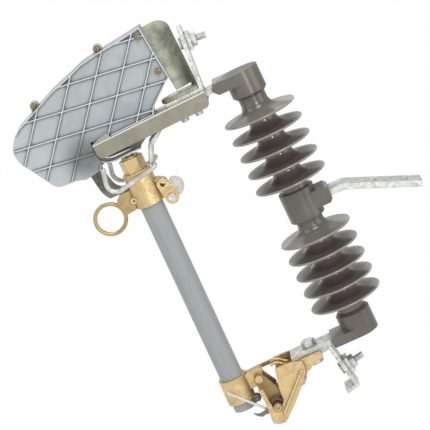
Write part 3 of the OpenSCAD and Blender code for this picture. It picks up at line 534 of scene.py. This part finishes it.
# %% Painted fibre tube
def tube_recipe(b):
    x, y, z = b.split(b.place(TUBE))
    angle = Value(b, b.node("ShaderNodeMath", {"operation": "ARCTAN2"}, {0: y, 1: x}).outputs[0])
    winding = (angle * 2.0 + z * 0.9).sin() * 0.5 + 0.5
    where = b.place()
    pulled = b.node("ShaderNodeCombineXYZ", None, {0: x, 1: y, 2: z * 0.03}).outputs[0]
    streaks = b.noise(pulled, 0.55, 4, 0.6)
    grain = b.noise(where, 900, 3)
    base = b.blend(streaks.between(0.25, 0.75), shade(151, 157, 157), shade(165, 170, 169))
    return {"Base Color": b.blend(winding * 0.08, base, shade(140, 148, 149)),
            "Roughness": 0.36 + grain * 0.12,
            "Normal": b.bump(winding * 0.2 + grain * 0.5, 0.00008)}


tube_paint = finish("tube_paint", tube_recipe, Specular_IOR_Level=0.4)

# %% [markdown]
# **Milky bumper.** A soft plastic ball, cloudy and slightly pink, that light passes into. White
# paint alone would look like chalk, so a third of the light goes through it.

# %% Milky plastic
def milky_recipe(b):
    where = b.place()
    clouds = b.noise(where, 120, 4, 0.6, 0.5)
    milk = b.blend(clouds.between(0.3, 0.7), shade(214, 207, 203), shade(245, 242, 238))
    return {"Base Color": milk,
            "Roughness": 0.16 + clouds * 0.15,
            "Normal": b.bump(clouds, 0.0006)}


milky = finish("milky_plastic", milky_recipe, Transmission_Weight=0.35, IOR=1.42)

# %% [markdown]
# The frame's own solids keep their shapes and take their finishes here, by the record's
# material slots, with finer choices for a few: turned brass for the ferrule cap and the
# toggle pin, darker brass inside the hinge, duller brass for the pull ring, its rivet and
# the spring strip their own, and the darker passivation for the chute's bracket.

# %% Finishes onto the solids
by_slot = {"silicone": silicone, "galvanised": galvanised, "sheet_steel": hood_sheet,
           "dark_steel": dark_steel, "chute_plastic": chute_plastic, "brass": cast_brass,
           "tube_fibre": tube_paint, "milky_plastic": milky}
by_node = {"ferrule_cap": turned_brass, "toggle_pin": turned_brass, "pull_ring": ring_brass,
           "ring_pin": rivet_brass, "flipper": spring_strip, "chute_sheet": bracket_sheet,
           "trunnion_casting": dark_hinge_brass, "lower_contact": dark_hinge_brass,
           "trunnion_pin": dark_hinge_brass}
for part in frame["record"]["subparts"]:
    solid = nodes[part["node"]]
    dress = by_node.get(part["node"], by_slot[part["material_slot"]])
    if not solid.material_slots:
        solid.data.materials.append(dress)
    for place in solid.material_slots:
        place.material = dress


# %% [markdown]
# ## Pieces
# Each new piece is a plain mesh at the origin with its place in its points. Every piece rides
# on one body of the frame, the fixed one or the swinging fuse holder, and says what it is made
# of by its slot.

# %% Settling a piece
def settle(name, mesh, material, body, place=None, smooth=40.0):
    """Puts a mesh in the scene in its place, eased shading by angle, riding on its body."""
    if place is not None:
        mesh.transform(place)
    shape = bmesh.new()
    shape.from_mesh(mesh)
    bmesh.ops.remove_doubles(shape, verts=shape.verts, dist=1e-7)
    bmesh.ops.recalc_face_normals(shape, faces=shape.faces)
    shape.to_mesh(mesh)
    shape.free()
    mesh.materials.clear()
    mesh.materials.append(material)
    mesh.shade_smooth()
    mesh.set_sharp_from_angle(angle=math.radians(smooth))
    piece = bpy.data.objects.new(name, mesh)
    bpy.context.scene.collection.objects.link(piece)
    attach(piece, body)
    return piece


# %% [markdown]
# Most small parts come off a lathe, so a turned profile makes them: pairs of radius and
# height, spun about Z. Nuts and bolt heads are six-sided prisms with their corners eased.

# %% Turned and six-sided solids
def turned(name, profile, steps=48):
    """A solid turned about Z from (radius, height) pairs, bottom to top; radius 0 closes it."""
    mesh = bpy.data.meshes.new(name)
    points, faces, rings = [], [], []
    for radius, height in profile:
        if radius == 0:
            rings.append([len(points)] * steps)
            points.append((0, 0, height))
        else:
            rings.append(list(range(len(points), len(points) + steps)))
            points += [(radius * math.cos(2 * math.pi * i / steps),
                        radius * math.sin(2 * math.pi * i / steps), height) for i in range(steps)]
    for low, high in zip(rings, rings[1:]):
        for i in range(steps):
            j = (i + 1) % steps
            face = []
            for corner_shade_and_tarnish in (low[i], low[j], high[j], high[i]):
                if corner_shade_and_tarnish not in face:
                    face.append(corner_shade_and_tarnish)
            if len(face) > 2:
                faces.append(face)
    mesh.from_pydata(points, [], faces)
    return mesh


def hexagon(name, flats, height, ease):
    """A hexagonal head or nut standing on z = 0, its corners turned off at the top."""
    mesh = bpy.data.meshes.new(name)
    corner_shade_and_tarnish = flats / math.sqrt(3)
    levels = ((corner_shade_and_tarnish, 0), (corner_shade_and_tarnish, height - ease), (corner_shade_and_tarnish - 1.4 * ease, height))
    points = [(r * math.cos(math.pi * i / 3), r * math.sin(math.pi * i / 3), z)
              for r, z in levels for i in range(6)]
    faces = [list(range(5, -1, -1)), list(range(12, 18))]
    for low in (0, 6):
        for i in range(6):
            j = (i + 1) % 6
            faces.append([low + i, low + j, low + 6 + j, low + 6 + i])
    mesh.from_pydata(points, [], faces)
    return mesh


# %% Joining and placing
def join(name, *meshes):
    """One mesh out of several."""
    whole = bmesh.new()
    for mesh in meshes:
        whole.from_mesh(mesh)
    made = bpy.data.meshes.new(name)
    whole.to_mesh(made)
    whole.free()
    return made


def moved(mesh, place):
    """The same mesh, moved to a place."""
    mesh.transform(place)
    return mesh


def outward(side):
    """The turn that points a piece's +Z out of the front, side -1, or the back, side 1."""
    return ACROSS if side < 0 else AWAY


# %% [markdown]
# ## Sheds
# The insulator's rubber is one moulding: a sheath with five drooping sheds to each half, and
# a wide fillet that runs each shed's upper face into the sheath. One shed's half profile,
# turned about the axis, makes a shed; an array of them on the sheath makes the housing.
# Geometry Nodes suit it, as pitch and count stay open to change. Every tree starts from named
# inputs and ends in real geometry with its finish on, so those two ends are written once.

# %% The two ends of a tree
def new_tree(name, inputs):
    """An empty geometry tree with named inputs and their usual values."""
    tree = bpy.data.node_groups.new(name, "GeometryNodeTree")
    tree.interface.new_socket("Geometry", in_out="INPUT", socket_type="NodeSocketGeometry")
    kinds = {float: "NodeSocketFloat", int: "NodeSocketInt"}
    for label, value in inputs.items():
        kind = kinds.get(type(value), "NodeSocketMaterial" if value is None else "NodeSocketObject")
        tree.interface.new_socket(label, in_out="INPUT", socket_type=kind)
        if type(value) in kinds:
            tree.interface.items_tree[label].default_value = value
    tree.interface.new_socket("Geometry", in_out="OUTPUT", socket_type="NodeSocketGeometry")
    bench = Bench(tree)
    entry = bench.node("NodeGroupInput")
    return tree, bench, entry


def close_tree(bench, entry, geometry):
    """Ends a tree in real geometry with its material set."""
    real = bench.node("GeometryNodeRealizeInstances", None, {0: geometry})
    dressed = bench.node("GeometryNodeSetMaterial", None, {
        "Geometry": real.outputs[0], "Material": entry.outputs["Finish"]})
    out = bench.node("NodeGroupOutput")
    bench.tree.links.new(dressed.outputs[0], out.inputs[0])


def grow(name, tree, start, values):
    """Runs a tree on a start mesh or curve with these inputs and returns the plain mesh."""
    holder = bpy.data.objects.new(name + "_start", start)
    bpy.context.scene.collection.objects.link(holder)
    modifier = holder.modifiers.new("grow", "NODES")
    modifier.node_group = tree
    for item in tree.interface.items_tree:
        if item.in_out == "INPUT" and item.name in values:
            modifier[item.identifier] = values[item.name]
    evaluated = holder.evaluated_get(bpy.context.evaluated_depsgraph_get())
    mesh = bpy.data.meshes.new_from_object(evaluated)
    mesh.name = name
    holder.modifiers.remove(modifier)
    bpy.data.objects.remove(holder)
    print("grew", name, len(mesh.polygons), "faces")
    return mesh


# %% [markdown]
# The shed's profile is a curve that the tree sweeps round a circle, then sets at each step of
# a line. A sweep keeps the shed's thin rim and hollow underside, which a cone would lose.

# %% A tree that turns a profile and repeats it
def housing_tree():
    """Sweeps a profile round the axis and repeats it, pitch by pitch, along the axis."""
    tree, b, entry = new_tree("turned_array", {"Count": 5, "Pitch": 23.0, "First": 38.0,
                                               "Segments": 96, "Finish": None})
    circle = b.node("GeometryNodeCurvePrimitiveCircle", None, {
        "Resolution": entry.outputs["Segments"], "Radius": 0.001})
    shed = b.node("GeometryNodeCurveToMesh", None, {
        "Curve": circle.outputs[0], "Profile Curve": entry.outputs["Geometry"]})
    start = b.node("ShaderNodeCombineXYZ", None, {"Z": entry.outputs["First"]})
    step = b.node("ShaderNodeCombineXYZ", None, {"Z": entry.outputs["Pitch"]})
    line = b.node("GeometryNodeMeshLine", None, {"Count": entry.outputs["Count"],
                  "Start Location": start.outputs[0], "Offset": step.outputs[0]})
    sheds = b.node("GeometryNodeInstanceOnPoints", None, {"Points": line.outputs[0],
                   "Instance": shed.outputs[0]})
    close_tree(b, entry, sheds.outputs[0])
    return tree


# %% One shed's profile
SHEATH_R, SHED_R, RIM_R = 17.5, 47.0, 1.5
RIM_Z = -4.0                        # the droop: the rim's height from the shed's root
FILLET_R, FILLET_Z = 12.5, 12.3     # the upper fillet and its middle's height
UNDER_R, UNDER_Z = 2.0, -8.1        # the same for the small fillet below


def arc_points(cx, cy, r, start, end, n):
    """Points along an arc about (cx, cy), angles in degrees."""
    return [(cx + r * math.cos(math.radians(start + (end - start) * i / n)),
             cy + r * math.sin(math.radians(start + (end - start) * i / n))) for i in range(n + 1)]


def shed_profile():
    """Half of one shed: fillet on top, round rim, slightly hollow underside."""
    rim = SHED_R - RIM_R
    top = arc_points(SHEATH_R + FILLET_R, FILLET_Z, FILLET_R, 180, 262, 16)
    outer = arc_points(rim, RIM_Z, RIM_R, 84, -96, 10)
    under = [(rim - 9, -6.05), (rim - 17, -6.3), (SHEATH_R + 6, -6.1)]
    root = arc_points(SHEATH_R + UNDER_R, UNDER_Z, UNDER_R, 92, 180, 4)
    inside = [(SHEATH_R - 1.0, root[-1][1]), (SHEATH_R - 1.0, top[0][1])]
    return top + outer + under + root + inside


def profile_curve(points):
    """A closed curve through (radius, height) pairs, straight from point to point."""
    curve = bpy.data.curves.new("profile", "CURVE")
    curve.dimensions = "3D"
    line = curve.splines.new("POLY")
    line.points.add(len(points) - 1)
    for point, (x, z) in zip(line.points, points):
        point.co = (x, -z, 0, 1)        # the sweep turns the profile's second axis down
    line.use_cyclic_u = True
    return curve


print("shed profile", len(shed_profile()), "points")

# %% [markdown]
# The halves mirror each other in where the sheds stand, but every shed droops the same way,
# so the steps change sign and the profile doesn't.

# %% Sheds on both halves
SHEDS, PITCH, FIRST = 5, 23.0, 38.0
HOUSING = (20.0, 151.0)             # from the collar's end to the cap's
sheds_tree = housing_tree()
for half, sign in (("upper", 1), ("lower", -1)):
    values = {"Count": SHEDS, "Pitch": PITCH * sign, "First": FIRST * sign, "Segments": 96,
              "Finish": silicone}
    sheds = grow(half + "_sheds", sheds_tree, profile_curve(shed_profile()), values)
    ends = sorted(end * sign for end in HOUSING)
    sheath = turned("sheath", [(0, ends[0]), (SHEATH_R, ends[0]), (SHEATH_R, ends[0] + 0.2),
                               (SHEATH_R, ends[1] - 0.2), (SHEATH_R, ends[1]), (0, ends[1])], 96)
    piece = settle(half + "_sheds", join("housing", sheds, sheath), silicone, "fixed",
                   UPRIGHT, 60)
    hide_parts(half + "_shed_housing")
    print(piece.name, [round(c, 3) for c in piece.bound_box[0]])

# %% [markdown]
# ## Threads
# The free ends of both terminal studs carry a thread. A thread is a ridge on a spiral, so
# the tree sweeps a small four-cornered profile along a spiral curve whose turns are the
# length over the pitch. A bump would do for a distant look, but leaves the outline smooth.

# %% Threads by a spiral
def thread_tree():
    """Sweeps a ridge along a spiral."""
    tree, b, entry = new_tree("spiral_thread", {"Length": 12.0, "Pitch": 1.5, "Radius": 4.0,
                                                "Ridge": 0.42, "Finish": None})
    turns = Value(b, entry.outputs["Length"]) / entry.outputs["Pitch"]
    spiral = b.node("GeometryNodeCurveSpiral", None, {
        "Resolution": 24, "Rotations": turns, "Start Radius": entry.outputs["Radius"],
        "End Radius": entry.outputs["Radius"], "Height": entry.outputs["Length"]})
    ridge = b.node("GeometryNodeCurvePrimitiveCircle", None, {
        "Resolution": 4, "Radius": entry.outputs["Ridge"]})
    swept = b.node("GeometryNodeCurveToMesh", None, {"Curve": spiral.outputs[0],
                   "Profile Curve": ridge.outputs[0], "Fill Caps": True})
    close_tree(b, entry, swept.outputs[0])
    return tree


threads = thread_tree()
STRAP_T, PLATE_T, NUT_H = 5.0, 3.0, 6.5
STACK = STRAP_T + 2 * PLATE_T + NUT_H           # what sits on a stud before its free end
STUD_UP, STUD_ALONG = 62.5, 38.0                # where the studs are on the two straps
studs = {"upper": STRAP @ shift(0, 0, STUD_UP) @ Matrix.Rotation(math.radians(90), 4, "Y"),
         "lower": LOW_STRAP @ shift(STUD_ALONG, 0, -STRAP_T)}
THREAD = {"Length": 11.6, "Pitch": 1.45, "Radius": 3.95, "Ridge": 0.42, "Finish": galvanised}
for end, stud in studs.items():
    name = end + "_stud_thread"
    ridge = grow(name, threads, bpy.data.meshes.new("seed"), THREAD)
    settle(name, ridge, galvanised, "fixed", stud @ shift(0, 0, STACK), 30)
print("threads", len(studs))

# %% [markdown]
# ## Screws
# The chute's halves are pulled together by pan-head screws with loose washers: two through
# the faces and two through the ears on its upper edge, each seen from both sides. One head is
# turned, and a tree sets it on points that carry their own turn.

# %% A tree that sets a head on turned points
def fastener_tree():
    """Sets copies of a head on points, each turned as its point says."""
    tree, b, entry = new_tree("set_fasteners", {"Head": "object", "Finish": None})
    turn = b.node("GeometryNodeInputNamedAttribute", {"data_type": "FLOAT_VECTOR"},
                  {"Name": "turn"})
    head = b.node("GeometryNodeObjectInfo", None, {"Object": entry.outputs["Head"]})
    euler = b.node("FunctionNodeEulerToRotation", None, {0: turn.outputs[0]})
    placed = b.node("GeometryNodeInstanceOnPoints", None, {
        "Points": entry.outputs["Geometry"], "Instance": head.outputs["Geometry"],
        "Rotation": euler.outputs[0]})
    close_tree(b, entry, placed.outputs[0])
    return tree


def set_on(name, tree, head_mesh, places, material):
    """Copies of a head on places, each a matrix whose +Z is the way out."""
    points = bpy.data.meshes.new(name + "_points")
    points.from_pydata([m.translation for m in places], [], [])
    turn = points.attributes.new("turn", "FLOAT_VECTOR", "POINT")
    for i, m in enumerate(places):
        turn.data[i].vector = m.to_euler()
    head = bpy.data.objects.new(name + "_head", head_mesh)
    bpy.context.scene.collection.objects.link(head)
    mesh = grow(name, tree, points, {"Head": head, "Finish": material})
    bpy.data.objects.remove(head)
    return mesh


def screw_head():
    """Washer and pan head with a sunk middle, drawn in millimetres and scaled to metres."""
    washer = turned("washer", [(0, 0), (4.2, 0), (4.4, 0.3), (4.2, 0.8), (0, 0.8)], 32)
    pan = turned("pan", [(0, 0.8), (3.0, 0.8), (3.2, 1.2), (3.1, 2.2), (2.6, 2.9), (1.4, 3.15),
                         (0.8, 3.15), (0.6, 2.2), (0, 2.1)], 32)
    return moved(join("screw", washer, pan), Matrix.Scale(MM, 4))


set_fasteners = fastener_tree()
FACE_SCREWS = ((-43.2, 95.1), (-39.1, 46.8))
FACE_OFF, EAR_OFF = 18.0, 5.0     # how far the faces with their ribs, and the ears, stand out
chute_screws = []
for spots, off in ((FACE_SCREWS, FACE_OFF), (EARS, EAR_OFF)):
    for x, z in spots:
        for side in (-1, 1):
            out = HOOD @ shift(x, side * off, z) @ outward(side)
            turn = out.to_quaternion().to_matrix().to_4x4()
            chute_screws.append(Matrix.Translation(out.translation) @ turn)
mesh = set_on("chute_screw_heads", set_fasteners, screw_head(), chute_screws, screw_brass)
screws = settle("chute_screw_heads", mesh, screw_brass, "fixed")
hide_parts("chute_screws")

# %% [markdown]
# ## Small parts of the castings
# A stop bolt in the hinge's sloping wall, the nut that clamps the fuse link beside the foot
# casting, and the set screw in the head casting. Each is small, but a plain casting without
# them looks like a toy. Head and washer are joined into one piece, as they never part.

# %% Bolts and nuts on the castings
STOP_AT = (PIN[0] + 39.0, PIN[1] + 13.2)
STOP_LEAN = 132.0                 # from upright, so its head looks down towards the insulator
stop_place = UPRIGHT @ shift(STOP_AT[0], 0, STOP_AT[1]) @ tilt(-STOP_LEAN)
stop = join("stop", moved(hexagon("head", 13, 5.5, 0.9), shift(0, 0, 1.2)),
            turned("washer", [(0, -0.5), (8.6, -0.5), (8.8, 0.4), (8.4, 1.2), (0, 1.2)]))
settle("hinge_stop_bolt", stop, galvanised, "fixed", stop_place, 30)

link = join("link", hexagon("nut", 9.5, 5.5, 0.7),
            turned("end", [(0, 5.0), (2.4, 5.0), (2.4, 8.0), (1.9, 8.6), (0, 8.6)], 24),
            turned("washer", [(0, -0.6), (6.2, -0.6), (6.2, 0.4), (0, 0.4)], 32))
LINK_AT = (18.4, -5.5, 16.5)      # in the tube's frame
settle("link_nut", link, dark_steel, "fuse_holder",
       TUBE @ shift(*LINK_AT) @ ACROSS, 30)

set_screw = turned("set_screw", [(0, -1.5), (2.6, -1.5), (2.6, 0.5), (2.2, 1.0), (1.2, 1.0),
                                 (1.1, -0.4), (0, -0.5)], 32)
SET_SCREW_AT = (11.5, -14.4, HEAD_LOW + 13.3)
ROUND_TUBE = Matrix.Rotation(math.radians(38), 4, "Z")      # from the front to the screw
set_place = TUBE @ shift(*SET_SCREW_AT) @ ROUND_TUBE @ ACROSS
settle("head_set_screw", set_screw, turned_brass, "fuse_holder", set_place, 30)
print("small parts 3")

# %% [markdown]
# ## Hinge pin ends and hinge springs
# The pin on which the fuse tube hangs has a turned button with a sunk middle at each end. It
# is one turned mesh, copied to both sides, and it swings with the tube.

# %% Pin ends
PLATE_OUT = 27.0                  # how far the hinge's plates reach from the middle
button = turned("button", [(0, -0.2), (4.5, -0.2), (4.7, 0.5), (4.5, 1.3), (3.9, 1.7),
                           (2.6, 1.7), (2.3, 0.4), (0, 0.4)], 36)
ends = [moved(button.copy(), AT_PIN @ shift(0, side * (PLATE_OUT + 0.5), 0) @ outward(side))
        for side in (-1, 1)]
settle("hinge_pin_ends", join("ends", *ends), turned_brass, "fuse_holder")
print("pin ends", len(ends))

# %% [markdown]
# Behind the plates, two bent spring wires press on the tube's casting. A wire is a round
# profile swept along a path, so one small tree makes it from any path and thickness.

# %% Wires along a path
def wire_tree():
    """Sweeps a round profile along a curve and closes its ends."""
    tree, b, entry = new_tree("wire", {"Thickness": 3.0, "Sides": 16, "Finish": None})
    radius = Value(b, entry.outputs["Thickness"]) * 0.5
    profile = b.node("GeometryNodeCurvePrimitiveCircle", None, {
        "Resolution": entry.outputs["Sides"], "Radius": radius})
    swept = b.node("GeometryNodeCurveToMesh", None, {"Curve": entry.outputs["Geometry"],
                   "Profile Curve": profile.outputs[0], "Fill Caps": True})
    close_tree(b, entry, swept.outputs[0])
    return tree


def path(points):
    """A smooth open curve through points."""
    curve = bpy.data.curves.new("path", "CURVE")
    curve.dimensions = "3D"
    line = curve.splines.new("BEZIER")
    line.bezier_points.add(len(points) - 1)
    for knot, point in zip(line.bezier_points, points):
        knot.co = point
        knot.handle_left_type = knot.handle_right_type = "AUTO"
    curve.resolution_u = 10
    return curve


PIN_UPRIGHT = UPRIGHT @ shift(PIN[0], 0, PIN[1])
SPRING_PATH = ((34.0, 40.4), (29.7, 43.2), (23.4, 48.2), (17.5, 49.6), (12.5, 48.6))
WIRE_OFF, WIRE_D = 8.0, 3.2       # from the middle, and how thick
wires = wire_tree()
arms = [grow("spring_wire", wires, path([(x, y, z) for x, z in SPRING_PATH]),
             {"Thickness": WIRE_D, "Sides": 16, "Finish": cast_brass})
        for y in (-WIRE_OFF, WIRE_OFF)]
settle("hinge_spring_wires", join("wires", *arms), cast_brass, "fixed", PIN_UPRIGHT, 60)

# %% [markdown]
# ## The hood's tongue and the chute's pips
# At its free end the hood has a tongue turned up beside the chute, which keeps the chute from
# swinging out. Two small pips on each chute face are what the mould's pushers leave. Sheet is
# its outline pushed out by its thickness; a pip is a small turned dome.

# %% Tongue and pips
def plate(name, outline, low, high):
    """A flat piece: an outline in X and Z with its thickness along Y, its corners kept."""
    mesh = bpy.data.meshes.new(name)
    n = len(outline)
    points = [(x, low, z) for x, z in outline] + [(x, high, z) for x, z in outline]
    faces = [list(range(n)), list(range(2 * n - 1, n - 1, -1))]
    faces += [[i, i + n, (i + 1) % n + n, (i + 1) % n] for i in range(n)]
    mesh.from_pydata(points, [], faces)
    return mesh


TONGUE_Y = (-20.6, -19.0)         # its two faces, on the hood's front side
TONGUE = ((-152.6, -0.1), (-151.6, 0.9), (-145.0, 3.6), (-132.0, 6.6), (-129.6, 6.4),
          (-128.8, 5.2), (-128.8, -0.1))
tongue = plate("tongue", TONGUE, *TONGUE_Y)
settle("hood_tongue", tongue, bracket_sheet, "fixed", HOOD, 30)

PIPS, SKIN = ((-83.5, 92.5), (-180.5, 67.0)), 15.5      # the skin's distance from the middle
dome = turned("pip", [(0, -0.4), (1.9, -0.4), (1.9, 0.1), (1.5, 0.5), (0.8, 0.75), (0, 0.8)], 20)
pips = [moved(dome.copy(), HOOD @ shift(x, side * SKIN, z) @ outward(side))
        for x, z in PIPS for side in (-1, 1)]
settle("chute_pips", join("pips", *pips), chute_plastic, "fixed")
print("tongue and pips")

# %% [markdown]
# ## Stage, lamps and camera
# The floor and the surroundings are pale and plain, and so show as white behind the object
# and in its metal; the floor keeps a little of its own shading. The floor lies far down, as
# the fuse tube hangs there when it has dropped.

# %% Floor and surroundings
FLOOR_GAP, FLOOR_REACH = 0.45, 40.0
FLOOR_GLOW = 0.985                # the plain white part of what a camera or a mirror sees


def floor_material():
    """Pale card that a camera, a mirror or glass sees as nearly white."""
    material = bpy.data.materials.new("floor")
    material.use_nodes = True
    tree = material.node_tree
    tree.nodes.clear()
    b = Bench(tree)
    grain = b.noise(b.place(), 14, 3)
    paper = b.blend(grain, shade(244, 244, 243), shade(250, 250, 249))
    card = b.node("ShaderNodeBsdfDiffuse", None, {"Color": paper})
    glow = b.node("ShaderNodeEmission", None, {"Color": (1, 1, 1, 1), "Strength": 1.0})
    rays = b.node("ShaderNodeLightPath").outputs
    seen = Value(b, rays["Is Camera Ray"]) + rays["Is Glossy Ray"] + rays["Is Transmission Ray"]
    mix = b.node("ShaderNodeMixShader", None, {
        0: seen.between(0, 1) * FLOOR_GLOW, 1: card.outputs[0], 2: glow.outputs[0]})
    out = b.node("ShaderNodeOutputMaterial")
    tree.links.new(mix.outputs[0], out.inputs["Surface"])
    return material


floor_z = cad_low.z - FLOOR_GAP
floor = bpy.data.meshes.new("floor")
corners = [(x * FLOOR_REACH, y * FLOOR_REACH, floor_z)
           for x, y in ((-1, -1), (1, -1), (1, 1), (-1, 1))]
floor.from_pydata(corners, [], [(0, 1, 2, 3)])
floor.materials.append(floor_material())
floor_object = bpy.data.objects.new("floor", floor)
bpy.context.scene.collection.objects.link(floor_object)

world = bpy.data.worlds.new("tent")
world.use_nodes = True
world.node_tree.nodes.clear()
TENT_LIGHT = 0.55                 # how bright the surroundings are for all but the camera
bench = Bench(world.node_tree)
rays = bench.node("ShaderNodeLightPath").outputs
seen = (Value(bench, rays["Is Camera Ray"]) + rays["Is Transmission Ray"]).between(0, 1)
sky = bench.node("ShaderNodeBackground", None, {
    "Color": (1, 1, 1, 1), "Strength": TENT_LIGHT + seen * (1 - TENT_LIGHT)})
world_out = bench.node("ShaderNodeOutputWorld")
world.node_tree.links.new(sky.outputs[0], world_out.inputs["Surface"])
bpy.context.scene.world = world
bpy.context.scene.view_settings.view_transform = "Standard"
print("floor at", round(floor_z, 3))

# %% [markdown]
# Five soft lamps, in front, on both sides and behind, light the object as a light tent would.
# Large lamps give long soft glints; the small one in front adds a crisp one.

# %% Lamps
def softbox(name, at, aim, size, watts):
    """A square soft lamp that looks at a point."""
    lamp = bpy.data.lights.new(name, "AREA")
    lamp.shape, lamp.size, lamp.energy = "SQUARE", size, watts
    stand = bpy.data.objects.new(name, lamp)
    stand.location = at
    stand.rotation_mode = "QUATERNION"
    stand.rotation_quaternion = (aim - at).to_track_quat("-Z", "Y")
    bpy.context.scene.collection.objects.link(stand)


middle = (cad_low + cad_high) / 2
lamps = (("key", (-0.1, -1.2, 1.5), 0.9, 12), ("front", (0.45, -1.6, 0.30), 0.25, 5),
         ("left", (-1.5, -0.5, 0.7), 0.9, 4), ("right", (1.5, -0.7, 0.6), 1.0, 5),
         ("back", (-0.6, 1.2, 1.4), 1.0, 9))
for name, off, size, watts in lamps:
    softbox(name, middle + Vector(off), middle, size, watts)
print("lamps", len(lamps), "around", [round(v, 3) for v in middle])

# %% [markdown]
# The camera looks along the object's side from a little above, far away on a long lens, so
# the picture is nearly free of perspective. Its three axes are written out as numbers.

# %% Camera
camera = bpy.data.cameras.new("camera")
camera.lens, camera.sensor_width = 152.12, 36.0         # millimetres
camera_object = bpy.data.objects.new("camera", camera)
bpy.context.scene.collection.objects.link(camera_object)
right = (0.99933, -0.00855, -0.03563)
up = (0.03664, 0.23329, 0.97172)
back = (0.0, -0.97237, 0.23345)
camera_object.rotation_mode = "QUATERNION"
camera_object.rotation_quaternion = Matrix((right, up, back)).transposed().to_quaternion()
camera_object.location = (-0.2170, -2.2085, 0.4919)
bpy.context.scene.camera = camera_object
print("camera", [round(v, 4) for v in camera_object.location])
